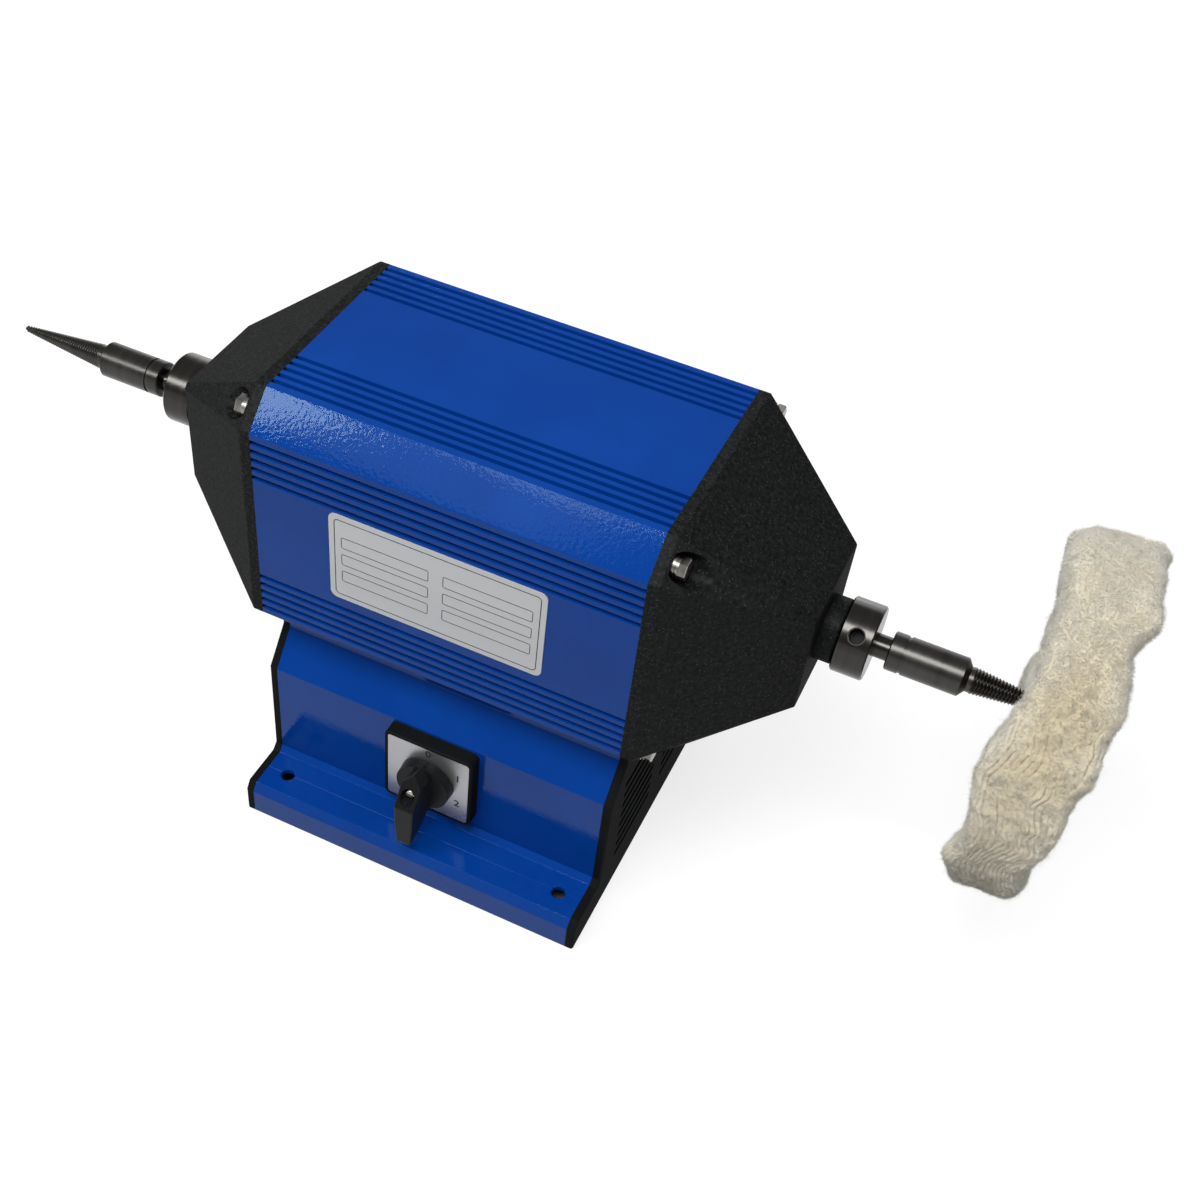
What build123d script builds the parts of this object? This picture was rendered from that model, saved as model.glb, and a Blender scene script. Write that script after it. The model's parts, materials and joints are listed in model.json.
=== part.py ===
from build123d import *
import os
from math import cos, hypot, radians, sin, sqrt

# Frame: the origin is on the bench under the middle of the base. +X runs along the shaft
# towards the mop, -Y faces the user and +Z is up. Sizes are in millimetres.

# Clearances
press_clearance = 0.03
slide_clearance = 0.15
thread_clearance = 0.05
screw_clearance = 0.3
running_clearance = 0.04
cover_clearance = 0.3
blind_hole_margin = 1.0

# Base extrusion
base_height = 120.5
base_wall = 3.5
base_deck = 4.0
base_edge_radius = 1.0
neck_height = 6.7
shoulder_height = 21.1
wall_spread = 156.0
flange_height = 23.0
flange_spread = 222.0
cove_width = 3.4
cove_height = 3.5
bevel_width = 3.65
bevel_height = 5.4
bench_hole_diameter = 8.0
bench_hole_spacing_x = 177.2
bench_hole_inset = 17.1
bench_hole_edge = 0.6
bench_hole_taper = 45.0
scribe_width = 1.0
scribe_depth = 0.38
ledge_width = 12.0
ledge_thickness = 4.0

# End caps of the base
cap_thickness = 5.0
cap_edge_radius = 1.5
cap_tab_thickness = 2.5
cap_tab_length = 8.0
cap_tab_height = 40.0
louvre_count = 8
louvre_pitch = 8.85
louvre_height = 4.2
louvre_bottom = 26.6
louvre_rib = 16.0
louvre_margin = 19.0
louvre_radius = 1.2

# Bottom plate
plate_thickness = 2.5
plate_screw_diameter = 4.0
plate_screw_head = 8.0
plate_screw_sink = 0.2
plate_screw_inset_x = 14.0

# Motor housing
housing_length = 214.0
housing_width = 160.0
housing_chamfer = 18.0
housing_edge_radius = 1.2
stator_bore = 132.0
groove_count = 5
groove_pitch = 5.6
groove_width = 2.8
groove_depth = 2.5
groove_inset = 5.0

# Screws that hold the housing down on the base
seat_screw_diameter = 6.0
seat_screw_grip = 9.0
seat_screw_head = 10.0
seat_screw_head_height = 6.0
seat_screw_spacing_x = 150.0
seat_screw_spacing_y = 44.0

# Rating plate, bare
rating_width = 122.0
rating_height = 58.0
rating_thickness = 0.6
rating_radius = 4.0
rating_shift_x = -1.7
rating_shift_z = 2.7

# End bells
bell_rim = 6.0
bell_slope = 67.0
bell_wall = 6.0
bell_web = 3.0
bell_end_width = 65.0
bell_end_chamfer = 2.5
bell_end_wall = 8.0
bell_edge_radius = 1.5
boss_diameter = 35.0
boss_length = 9.0
boss_edge = 0.8
boss_shaft_clearance = 0.75
spigot_length = 4.0
spigot_wall = 4.0
hub_wall = 5.0
hub_lip = 1.0

# Bolts that hold the bells, one in each corner pocket
bolt_diameter = 6.0
bolt_head_width = 10.0
bolt_head_height = 4.0
bolt_head_edge = 0.5
bolt_reach = 18.0
bolt_inset = 14.4
washer_diameter = 12.0
washer_thickness = 1.6
spring_washer_diameter = 11.0
spring_washer_thickness = 1.6
pocket_diameter = 17.0
pocket_floor = 1.0
pocket_wall = 5.0

# Bearings
bearing_bore = 15.0
bearing_outer = 35.0
bearing_width = 11.0
bearing_ring = 3.0
ball_diameter = 6.0
ball_count = 8
bearing_washer_thickness = 1.0
bearing_washer_width = 3.0

# Stator and rotor
stator_length = 80.0
stator_inner = 76.0
slot_count = 24
slot_width = 5.0
slot_depth = 15.0
slot_bridge = 2.5
slot_liner = 0.2
winding_overhang = 28.0
winding_bulge = 5.0
winding_radius = 4.0
air_gap = 0.5
end_ring_length = 9.0
end_ring_width = 11.0
end_ring_step = 1.0

# Shaft
shaft_core_diameter = 24.0
shaft_core_margin = 12.0
shaft_body_diameter = 19.0
shaft_end_diameter = 12.5

# Collars
collar_diameter = 40.0
collar_length = 17.0
collar_gap = 0.3
collar_edge = 0.8
collar_screw_diameter = 8.0
collar_screw_length = 5.0
collar_screw_angle = 45.0
set_screw_socket = 4.0
set_screw_socket_depth = 2.5
screw_mouth = 0.6

# Tapered screw spindles
right_spindle_gap = 8.0
left_spindle_gap = 10.9
spindle_diameter = 20.4
spindle_length = 38.2
spindle_rear_edge = 0.6
spindle_groove_start = 7.0
spindle_groove_width = 1.6
spindle_groove_depth = 0.6
spindle_bore_depth = 32.0
nose_length = 2.75
neck_diameter = 13.0
neck_length = 2.2
thread_root = 14.2
thread_tip = 3.8
thread_pitch = 1.75
thread_turns = 30
thread_depth = 0.8
tip_length = 0.8
shaft_end_gap = 1.0
spindle_screw_diameter = 6.0
spindle_screw_place = 20.0
spindle_screw_sink = 0.2
spindle_socket = 3.0
spindle_socket_depth = 2.0

# Polishing mop
mop_diameter = 190.0
mop_rim = 46.0
mop_hub = 20.0
mop_hub_diameter = 56.0
mop_shoulder_diameter = 150.0
mop_edge_radius = 8.0
mop_centre = 45.0
disc_diameter = 46.0
disc_thickness = 2.0
mop_clearance = 0.2

# Switch frame, dial plate and body
switch_size = 55.0
switch_radius = 4.0
switch_thickness = 8.8
switch_edge = 0.8
switch_top_gap = 1.6
dial_margin = 2.0
dial_thickness = 0.8
dial_recess = 1.1
dial_hole_diameter = 20.0
switch_body_width = 48.0
switch_body_depth = 52.0
switch_neck_diameter = 22.0
switch_screw_diameter = 4.0
switch_screw_head = 7.0
switch_screw_head_height = 2.4
switch_screw_spacing = 38.0
switch_screw_grip = 10.0
switch_shaft_diameter = 8.0
switch_shaft_depth = 36.0

# Switch knob: heights stand out from the frame's front, rises are up from the turning axis
knob_gap = 0.5
skirt_diameter = 32.8
skirt_top_diameter = 32.0
skirt_height = 6.2
grip_width = 12.0
grip_waist_width = 11.2
grip_tail_width = 8.6
grip_root_height = 3.2
prow_rise = 16.4
prow_depth = 6.6
prow_lean = 0.25
grip_shoulder_height = 20.1
grip_shoulder_rise = 14.4
grip_break_height = 28.4
grip_break_rise = 3.6
grip_tail_drop = 26.4
grip_heel_height = 19.5
grip_heel_drop = 25.2
grip_root_drop = 15.4
grip_edge = 0.9
driver_diameter = 26.0
driver_thickness = 3.0
driver_gap = 0.2
knob_screw_rise = 9.5
knob_screw_diameter = 3.0
knob_screw_head = 5.6
knob_screw_head_height = 2.4
knob_screw_dome = 1.6
knob_screw_slot_width = 0.8
knob_screw_slot_depth = 0.8
knob_screw_floor = 19.0
knob_recess_diameter = 8.4

# Leads, grommet and cable gland
lead_hole_diameter = 12.0
lead_drop_gap = 8.0
lead_diameter = 6.0
lead_bend = 7.5
grommet_flange = 2.0
grommet_rise = 8.0
gland_offset_x = -60.0
gland_offset_z = 22.0
gland_thread = 16.0
gland_hex = 22.0
gland_hex_height = 6.0
gland_dome_diameter = 20.0
gland_dome_length = 15.0
gland_dome_radius = 4.0
gland_bore = 8.0
gland_nut_height = 5.0
gland_nut_margin = 3.0

# Run capacitor, terminal block and earth screw
capacitor_diameter = 35.0
capacitor_length = 70.0
capacitor_edge = 2.0
capacitor_gap = 9.0
clamp_thickness = 1.6
clamp_width = 18.0
clamp_foot = 12.0
small_screw_diameter = 4.0
small_screw_head = 7.0
small_screw_head_height = 2.4
block_length = 36.0
block_width = 20.0
block_height = 16.0
block_well_count = 4
block_well_diameter = 5.0
block_well_depth = 7.0
block_screw_height = 3.0
earth_screw_diameter = 5.0
earth_screw_length = 10.0
earth_head_width = 8.0
earth_head_height = 3.5

# Places that follow from the sizes
sides = ((-1, "left"), (1, "right"))
axis_height = base_height + housing_width / 2
housing_half = housing_width / 2
housing_end = housing_length / 2
flat_half = housing_half - housing_chamfer
rim_end = housing_end + bell_rim
bell_face = rim_end + bell_slope
boss_end = bell_face + boss_length
wall_half = wall_spread / 2
flange_half = flange_spread / 2
wall_top = base_height - neck_height - shoulder_height
wall_inner = wall_half - base_wall
base_end = housing_end - cap_thickness
bench_hole_y = flange_half - bench_hole_inset
deck_bottom = base_height - base_deck
bolt_spacing = housing_width - 2 * bolt_inset
bolt_floor = rim_end + pocket_floor
bolt_seat = bolt_floor + washer_thickness + spring_washer_thickness
bearing_stop = bell_face - bell_end_wall
bearing_outside = bearing_stop - bearing_washer_thickness
bearing_middle = bearing_outside - bearing_width / 2
bearing_inside = bearing_outside - bearing_width
ball_circle = (bearing_bore + bearing_outer) / 4
race_radius = ball_diameter / 2 + running_clearance
collar_start = boss_end + collar_gap
collar_end = collar_start + collar_length
collar_middle = collar_start + collar_length / 2
spindle_start = {1: collar_end + right_spindle_gap, -1: collar_end + left_spindle_gap}
thread_length = thread_pitch * thread_turns
thread_offset = spindle_length + nose_length + neck_length
mop_middle = spindle_start[1] + spindle_length + mop_centre
winding_end = stator_length / 2 + winding_overhang
slot_inner = stator_inner / 2 + slot_bridge
slot_outer = slot_inner + slot_depth
lead_x = winding_end + lead_drop_gap
lead_height = axis_height - (slot_inner + slot_outer) / 2
switch_z = wall_top - switch_top_gap - switch_size / 2
knob_back = switch_thickness + knob_gap
block_top = plate_thickness + block_height
capacitor_y = wall_inner - capacitor_gap - capacitor_diameter / 2
capacitor_z = plate_thickness + clamp_thickness + capacitor_diameter / 2
gland_z = flange_height + gland_offset_z

shaft_axis = Axis((0, 0, axis_height), (1, 0, 0))
shaft_plane = Plane(origin=(0, 0, axis_height), x_dir=(1, 0, 0), z_dir=(0, -1, 0))
switch_plane = Plane(origin=(0, -wall_half, switch_z), x_dir=(1, 0, 0), z_dir=(0, -1, 0))
switch_axis = Axis((0, 0, switch_z), (0, -1, 0))
gland_plane = Plane(origin=(gland_offset_x, wall_half, gland_z), x_dir=(-1, 0, 0), z_dir=(0, 1, 0))


def end_plane(side, distance, height=axis_height):
    """A plane square to the shaft that faces outwards, on the left (-1) or right (1) side."""
    return Plane(origin=(side * distance, 0, height), x_dir=(0, side, 0), z_dir=(side, 0, 0))


def radial_plane(x, angle):
    """A plane through the shaft's axis that faces the given angle, counted up from the front."""
    outwards = (0, -cos(radians(angle)), sin(radians(angle)))
    return Plane(origin=(x, 0, axis_height), x_dir=(1, 0, 0), z_dir=outwards)


def octagon(width, chamfer_size):
    """Draw a square with cut corners in the middle of the sketch."""
    half = width / 2
    flat = half - chamfer_size
    quarter = [(half, -flat), (half, flat)]
    turns = [(1, 0), (0, 1), (-1, 0), (0, -1)]
    Polygon(*[(c * y - s * z, s * y + c * z) for c, s in turns for y, z in quarter])


def both_halves(points):
    """Close a half outline with its mirror image across the middle."""
    return points + [(-y, z) for y, z in reversed(points)]


def edges_at(piece, x):
    """The edges of a piece that lie in the plane at x."""
    return piece.edges().filter_by_position(Axis.X, x - 0.01, x + 0.01)


def write(piece, name):
    """Label a finished piece and write its STEP file."""
    piece.part.label = name
    export_step(piece.part, f"parts/{name}.step")


os.makedirs("parts", exist_ok=True)

# Motor housing: grooved octagonal extrusion, bored for the stator
groove_places = [
    (sign * (flat_half - groove_inset - i * groove_pitch), housing_half)
    for sign in (-1, 1)
    for i in range(groove_count)
]
with BuildPart() as motor_housing:
    with BuildSketch(end_plane(1, 0)) as housing_section:
        octagon(housing_width, housing_chamfer)
        fillet(housing_section.vertices(), housing_edge_radius)
        Circle(stator_bore / 2, mode=Mode.SUBTRACT)
        with PolarLocations(0, 4):
            with Locations(*groove_places):
                Rectangle(groove_width, 2 * groove_depth, mode=Mode.SUBTRACT)
        with GridLocations(bolt_spacing, bolt_spacing, 2, 2):
            Circle(bolt_diameter / 2 + thread_clearance, mode=Mode.SUBTRACT)
    extrude(amount=housing_end, both=True)
    with BuildSketch(Plane.XY.offset(base_height)):
        with GridLocations(seat_screw_spacing_x, seat_screw_spacing_y, 2, 2):
            Circle(seat_screw_diameter / 2 + thread_clearance)
    extrude(amount=seat_screw_grip + blind_hole_margin, mode=Mode.SUBTRACT)
    with BuildSketch(Plane.XY.offset(base_height)):
        with Locations((lead_x, 0)):
            Circle(lead_hole_diameter / 2)
    extrude(amount=housing_half, mode=Mode.SUBTRACT)
write(motor_housing, "motor_housing")

# Rating plate on the front face of the housing
rating_plane = Plane(
    origin=(rating_shift_x, -housing_half, axis_height + rating_shift_z),
    x_dir=(1, 0, 0),
    z_dir=(0, -1, 0),
)
with BuildPart() as rating_plate:
    with BuildSketch(rating_plane):
        RectangleRounded(rating_width, rating_height, rating_radius)
    extrude(amount=rating_thickness)
write(rating_plate, "rating_plate")

# End bells: a rim, four sloping sides and cut corners, hollow, with a bearing hub inside
slope_share = (housing_width - bell_end_width) / 2 / bell_slope
wall_inset = bell_wall * hypot(1, slope_share)
cavity_length = bell_slope - bell_end_wall
cavity_width = housing_width - 2 * wall_inset
cavity_end_width = cavity_width - 2 * slope_share * cavity_length
cavity_reach = (housing_half - bolt_inset) * sqrt(2) - pocket_diameter / 2 - pocket_wall
cavity_chamfer = cavity_width - cavity_reach * sqrt(2)
hub_radius = bearing_outer / 2 + hub_wall
hub_start = bearing_inside - hub_lip
spigot_radius = stator_bore / 2 - press_clearance
for side, side_name in sides:
    with BuildPart() as end_bell:
        with BuildSketch(end_plane(side, housing_end)) as rim_section:
            octagon(housing_width, housing_chamfer)
            fillet(rim_section.vertices(), bell_edge_radius)
        extrude(amount=bell_rim)
        with BuildSketch(end_plane(side, rim_end)) as slope_section:
            octagon(housing_width, housing_chamfer)
            fillet(slope_section.vertices(), bell_edge_radius)
        with BuildSketch(end_plane(side, bell_face)) as face_section:
            octagon(bell_end_width, bell_end_chamfer)
            fillet(face_section.vertices(), bell_edge_radius)
        loft(ruled=True)
        fillet(edges_at(end_bell, side * rim_end), bell_edge_radius)
        fillet(edges_at(end_bell, side * bell_face), bell_edge_radius)
        with BuildSketch(end_plane(side, housing_end)):
            Circle(spigot_radius)
        extrude(amount=-spigot_length)
        with BuildSketch(end_plane(side, housing_end - spigot_length)):
            Circle(spigot_radius - spigot_wall)
        extrude(amount=spigot_length + bell_web, mode=Mode.SUBTRACT)
        with BuildSketch(end_plane(side, housing_end + bell_web)):
            octagon(cavity_width, cavity_chamfer)
        extrude(amount=bell_rim - bell_web, mode=Mode.SUBTRACT)
        with BuildSketch(end_plane(side, rim_end)):
            octagon(cavity_width, cavity_chamfer)
        with BuildSketch(end_plane(side, rim_end + cavity_length)):
            octagon(cavity_end_width, bell_end_chamfer)
        loft(ruled=True, mode=Mode.SUBTRACT)
        with BuildSketch(end_plane(side, hub_start)):
            Circle(hub_radius)
        extrude(amount=bell_face - hub_start)
        with BuildSketch(end_plane(side, bell_face)):
            Circle(boss_diameter / 2)
        extrude(amount=boss_length)
        chamfer(edges_at(end_bell, side * boss_end), boss_edge)
        with BuildSketch(end_plane(side, hub_start)):
            Circle(bearing_outer / 2)
        extrude(amount=bearing_stop - hub_start, mode=Mode.SUBTRACT)
        with BuildSketch(end_plane(side, bearing_stop)):
            Circle(shaft_end_diameter / 2 + boss_shaft_clearance)
        extrude(amount=boss_end - bearing_stop, mode=Mode.SUBTRACT)
        with BuildSketch(end_plane(side, bolt_floor)):
            with GridLocations(bolt_spacing, bolt_spacing, 2, 2):
                Circle(pocket_diameter / 2)
        extrude(amount=bell_slope, mode=Mode.SUBTRACT)
        with BuildSketch(end_plane(side, housing_end)):
            with GridLocations(bolt_spacing, bolt_spacing, 2, 2):
                Circle(bolt_diameter / 2 + screw_clearance)
        extrude(amount=bolt_floor - housing_end, mode=Mode.SUBTRACT)
    write(end_bell, f"{side_name}_end_bell")

# Bell bolts: hex heads in the corner pockets, threaded into the housing's corners
with BuildPart() as bell_bolts:
    for side, side_name in sides:
        with BuildSketch(end_plane(side, bolt_seat)):
            with GridLocations(bolt_spacing, bolt_spacing, 2, 2):
                RegularPolygon(bolt_head_width / 2, 6, major_radius=False)
        extrude(amount=bolt_head_height)
        chamfer(edges_at(bell_bolts, side * (bolt_seat + bolt_head_height)), bolt_head_edge)
        with BuildSketch(end_plane(side, housing_end - bolt_reach)):
            with GridLocations(bolt_spacing, bolt_spacing, 2, 2):
                Circle(bolt_diameter / 2)
        extrude(amount=bolt_reach + bolt_seat - housing_end)
write(bell_bolts, "bell_bolts")

# A flat washer and a spring washer under each head
with BuildPart() as bolt_washers:
    for side, side_name in sides:
        with BuildSketch(end_plane(side, bolt_floor)):
            with GridLocations(bolt_spacing, bolt_spacing, 2, 2):
                Circle(washer_diameter / 2)
                Circle(bolt_diameter / 2 + thread_clearance, mode=Mode.SUBTRACT)
        extrude(amount=washer_thickness)
write(bolt_washers, "bolt_washers")

with BuildPart() as spring_washers:
    for side, side_name in sides:
        with BuildSketch(end_plane(side, bolt_floor + washer_thickness)):
            with GridLocations(bolt_spacing, bolt_spacing, 2, 2):
                Circle(spring_washer_diameter / 2)
                Circle(bolt_diameter / 2 + thread_clearance, mode=Mode.SUBTRACT)
        extrude(amount=spring_washer_thickness)
write(spring_washers, "spring_washers")

# Stator core: slotted ring pressed into the housing
with BuildPart() as stator_core:
    with BuildSketch(end_plane(1, 0)):
        Circle(stator_bore / 2 - press_clearance)
        Circle(stator_inner / 2, mode=Mode.SUBTRACT)
        with PolarLocations((slot_inner + slot_outer) / 2, slot_count):
            Rectangle(slot_depth, slot_width, mode=Mode.SUBTRACT)
    extrude(amount=stator_length / 2, both=True)
write(stator_core, "stator_core")

# Stator windings: a bar in each slot and a rounded ring of end turns on each side
with BuildPart() as stator_windings:
    with BuildSketch(end_plane(1, 0)):
        with PolarLocations((slot_inner + slot_outer) / 2, slot_count):
            Rectangle(slot_depth - 2 * slot_liner, slot_width - 2 * slot_liner)
    extrude(amount=stator_length / 2 + winding_radius, both=True)
    for side, side_name in sides:
        with BuildSketch(shaft_plane) as turns_section:
            inner = slot_inner + slot_liner
            outer = slot_outer - slot_liner + winding_bulge
            near = stator_length / 2 + slot_liner
            Polygon(
                (side * near, inner),
                (side * near, outer),
                (side * winding_end, outer),
                (side * winding_end, inner),
            )
            fillet(turns_section.vertices(), winding_radius)
        revolve(axis=shaft_axis)
write(stator_windings, "stator_windings")

# Bearing outer rings, seated in the bells
with BuildPart() as bearing_outer_rings:
    for side, side_name in sides:
        with BuildSketch(shaft_plane):
            with Locations((side * bearing_middle, (bearing_outer - bearing_ring) / 2)):
                Rectangle(bearing_width, bearing_ring - 2 * press_clearance)
            with Locations((side * bearing_middle, ball_circle)):
                Circle(race_radius, mode=Mode.SUBTRACT)
        revolve(axis=shaft_axis)
write(bearing_outer_rings, "bearing_outer_rings")

# Bearing washers between the outer rings and the bells' end walls
with BuildPart() as bearing_washers:
    for side, side_name in sides:
        with BuildSketch(end_plane(side, bearing_outside)):
            Circle(bearing_outer / 2 - slide_clearance)
            Circle(bearing_outer / 2 - bearing_washer_width, mode=Mode.SUBTRACT)
        extrude(amount=bearing_washer_thickness)
write(bearing_washers, "bearing_washers")

# Shaft: stepped towards both ends
shaft_reach = {side: spindle_start[side] + spindle_bore_depth - shaft_end_gap for side in (1, -1)}
core_seat_end = stator_length / 2 + shaft_core_margin
shaft_steps = [
    (core_seat_end, shaft_core_diameter),
    (bearing_inside, shaft_body_diameter),
    (bearing_outside, bearing_bore),
]
with BuildPart() as shaft:
    for side, side_name in sides:
        step_start = 0.0
        for step_end, diameter in shaft_steps + [(shaft_reach[side], shaft_end_diameter)]:
            with BuildSketch(end_plane(side, step_start)):
                Circle(diameter / 2)
            extrude(amount=step_end - step_start)
            step_start = step_end
write(shaft, "shaft")

# Rotor core and its end rings
rotor_radius = stator_inner / 2 - air_gap
end_ring_radius = rotor_radius - end_ring_step
with BuildPart() as rotor_core:
    with BuildSketch(end_plane(1, 0)):
        Circle(rotor_radius)
        Circle(shaft_core_diameter / 2 + press_clearance, mode=Mode.SUBTRACT)
    extrude(amount=stator_length / 2, both=True)
write(rotor_core, "rotor_core")

with BuildPart() as rotor_end_rings:
    for side, side_name in sides:
        with BuildSketch(end_plane(side, stator_length / 2)):
            Circle(end_ring_radius)
            Circle(end_ring_radius - end_ring_width, mode=Mode.SUBTRACT)
        extrude(amount=end_ring_length)
write(rotor_end_rings, "rotor_end_rings")

# Bearing inner rings and balls
with BuildPart() as bearing_inner_rings:
    for side, side_name in sides:
        with BuildSketch(shaft_plane):
            with Locations((side * bearing_middle, (bearing_bore + bearing_ring) / 2)):
                Rectangle(bearing_width, bearing_ring - 2 * press_clearance)
            with Locations((side * bearing_middle, ball_circle)):
                Circle(race_radius, mode=Mode.SUBTRACT)
        revolve(axis=shaft_axis)
write(bearing_inner_rings, "bearing_inner_rings")

with BuildPart() as bearing_balls:
    for side, side_name in sides:
        with Locations(end_plane(side, bearing_middle)):
            with PolarLocations(ball_circle, ball_count):
                Sphere(ball_diameter / 2)
write(bearing_balls, "bearing_balls")

# Collars clamped on the shaft beside the bosses
screw_angle = {1: collar_screw_angle, -1: collar_screw_angle + 180}
for side, side_name in sides:
    collar_screw_plane = radial_plane(side * collar_middle, screw_angle[side])
    with BuildPart() as collar:
        with BuildSketch(end_plane(side, collar_start)):
            Circle(collar_diameter / 2)
        extrude(amount=collar_length)
        chamfer(collar.edges().filter_by(GeomType.CIRCLE), collar_edge)
        with BuildSketch(end_plane(side, collar_start)):
            Circle(shaft_end_diameter / 2 + press_clearance)
        extrude(amount=collar_length, mode=Mode.SUBTRACT)
        with BuildSketch(collar_screw_plane):
            Circle(collar_screw_diameter / 2 + thread_clearance)
        extrude(amount=collar_diameter, mode=Mode.SUBTRACT)
        with BuildSketch(collar_screw_plane.offset(collar_diameter / 2 - screw_mouth)):
            Circle(collar_screw_diameter / 2 + screw_mouth)
        extrude(amount=collar_diameter, mode=Mode.SUBTRACT)
    write(collar, f"{side_name}_collar")

with BuildPart() as collar_set_screws:
    for side, side_name in sides:
        screw_seat = shaft_end_diameter / 2 + press_clearance
        collar_screw_plane = radial_plane(side * collar_middle, screw_angle[side])
        with BuildSketch(collar_screw_plane.offset(screw_seat)):
            Circle(collar_screw_diameter / 2)
        extrude(amount=collar_screw_length)
        socket_floor = screw_seat + collar_screw_length - set_screw_socket_depth
        with BuildSketch(collar_screw_plane.offset(socket_floor)):
            RegularPolygon(set_screw_socket / 2, 6, major_radius=False)
        extrude(amount=set_screw_socket_depth, mode=Mode.SUBTRACT)
write(collar_set_screws, "collar_set_screws")


def thread_radius(distance):
    """Radius over the thread's crests at a distance from the thread's start."""
    share = distance / thread_length
    return thread_root / 2 + share * (thread_tip - thread_root) / 2


# Tapered spindles: a sleeve on the shaft, a bevelled nose and a ridged taper
for side, side_name in sides:
    start = spindle_start[side]
    shoulder = start + spindle_length
    groove_near = start + spindle_groove_start
    groove_far = groove_near + spindle_groove_width
    radius = spindle_diameter / 2
    bore = shaft_end_diameter / 2 + press_clearance
    neck_start = shoulder + nose_length
    profile = [
        (start, bore),
        (start, radius - spindle_rear_edge),
        (start + spindle_rear_edge, radius),
        (groove_near, radius),
        (groove_near, radius - spindle_groove_depth),
        (groove_far, radius - spindle_groove_depth),
        (groove_far, radius),
        (shoulder, radius),
        (neck_start, neck_diameter / 2),
    ]
    for turn in range(thread_turns):
        valley = turn * thread_pitch
        crest = valley + thread_pitch / 2
        profile.append((start + thread_offset + valley, thread_radius(valley) - thread_depth))
        profile.append((start + thread_offset + crest, thread_radius(crest)))
    thread_end = start + thread_offset + thread_length
    profile.append((thread_end, thread_tip / 2 - thread_depth))
    profile.append((thread_end + tip_length, thread_tip / 2 - thread_depth))
    profile.append((thread_end + tip_length, 0))
    profile.append((start + spindle_bore_depth, 0))
    profile.append((start + spindle_bore_depth, bore))
    spindle_screw_plane = radial_plane(side * (start + spindle_screw_place), collar_screw_angle + 180)
    with BuildPart() as spindle:
        with BuildSketch(shaft_plane):
            Polygon(*[(side * x, r) for x, r in profile])
        revolve(axis=shaft_axis)
        with BuildSketch(spindle_screw_plane):
            Circle(spindle_screw_diameter / 2 + thread_clearance)
        extrude(amount=spindle_diameter, mode=Mode.SUBTRACT)
    write(spindle, f"{side_name}_spindle")

with BuildPart() as spindle_set_screws:
    for side, side_name in sides:
        screw_x = side * (spindle_start[side] + spindle_screw_place)
        spindle_screw_plane = radial_plane(screw_x, collar_screw_angle + 180)
        screw_seat = shaft_end_diameter / 2 + press_clearance
        screw_length = spindle_diameter / 2 - screw_seat - spindle_screw_sink
        with BuildSketch(spindle_screw_plane.offset(screw_seat)):
            Circle(spindle_screw_diameter / 2)
        extrude(amount=screw_length)
        with BuildSketch(spindle_screw_plane.offset(screw_seat + screw_length - spindle_socket_depth)):
            RegularPolygon(spindle_socket / 2, 6, major_radius=False)
        extrude(amount=spindle_socket_depth, mode=Mode.SUBTRACT)
write(spindle_set_screws, "spindle_set_screws")


def mop_bore(x):
    """Radius of the mop's tapered hole at a place along the right spindle."""
    return thread_radius(x - spindle_start[1] - thread_offset) + mop_clearance


# Polishing mop: soft disc, thin at the stitched hub and full at the rim, screwed on the taper
hub_near = mop_middle - mop_hub / 2
hub_far = mop_middle + mop_hub / 2
rim_near = mop_middle - mop_rim / 2
rim_far = mop_middle + mop_rim / 2
mop_outline = [
    (hub_near, mop_bore(hub_near)),
    (hub_near, mop_hub_diameter / 2),
    (rim_near, mop_shoulder_diameter / 2),
    (rim_near, mop_diameter / 2),
    (rim_far, mop_diameter / 2),
    (rim_far, mop_shoulder_diameter / 2),
    (hub_far, mop_hub_diameter / 2),
    (hub_far, mop_bore(hub_far)),
]
with BuildPart() as polishing_mop:
    with BuildSketch(shaft_plane) as mop_section:
        Polygon(*mop_outline)
        rim_corners = mop_section.vertices().group_by(Axis.Z)[-1]
        fillet(rim_corners, mop_edge_radius)
    revolve(axis=shaft_axis)
write(polishing_mop, "polishing_mop")

with BuildPart() as mop_discs:
    for near in (hub_near - disc_thickness, hub_far):
        far = near + disc_thickness
        with BuildSketch(shaft_plane):
            Polygon(
                (near, mop_bore(near)),
                (near, disc_diameter / 2),
                (far, disc_diameter / 2),
                (far, mop_bore(far)),
            )
        revolve(axis=shaft_axis)
write(mop_discs, "mop_discs")

# Base: neck, sloped shoulders and side walls, with a channelled bench flange along each wall
body_outline = [
    (flat_half, base_height),
    (flat_half, base_height - neck_height),
    (wall_half, wall_top),
    (wall_half, flange_height + cove_height),
]
flange_top = [
    (wall_half + cove_width, flange_height),
    (flange_half - bevel_width, flange_height),
    (flange_half, flange_height - bevel_height),
    (flange_half, 0),
]
base_outline = both_halves(body_outline + flange_top)
shoulder_width = wall_half - flat_half
shoulder_inset = base_wall * hypot(shoulder_width, shoulder_height) / shoulder_height
shoulder_lean = shoulder_width / shoulder_height
inner_wall_top = wall_top - (shoulder_inset - base_wall) / shoulder_lean
inner_deck_half = wall_inner - (deck_bottom - inner_wall_top) * shoulder_lean
inner_outline = both_halves(
    [
        (inner_deck_half, deck_bottom),
        (wall_inner, inner_wall_top),
        (wall_inner, 0),
    ]
)
flange_underside = [
    (flange_half - base_wall, 0),
    (flange_half - base_wall, flange_height - bevel_height - base_wall / 2),
    (flange_half - bevel_width - base_wall / 2, flange_height - base_wall),
    (wall_half, flange_height - base_wall),
]
flange_outline = [(wall_half, flange_height + cove_height)] + flange_top + flange_underside
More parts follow.
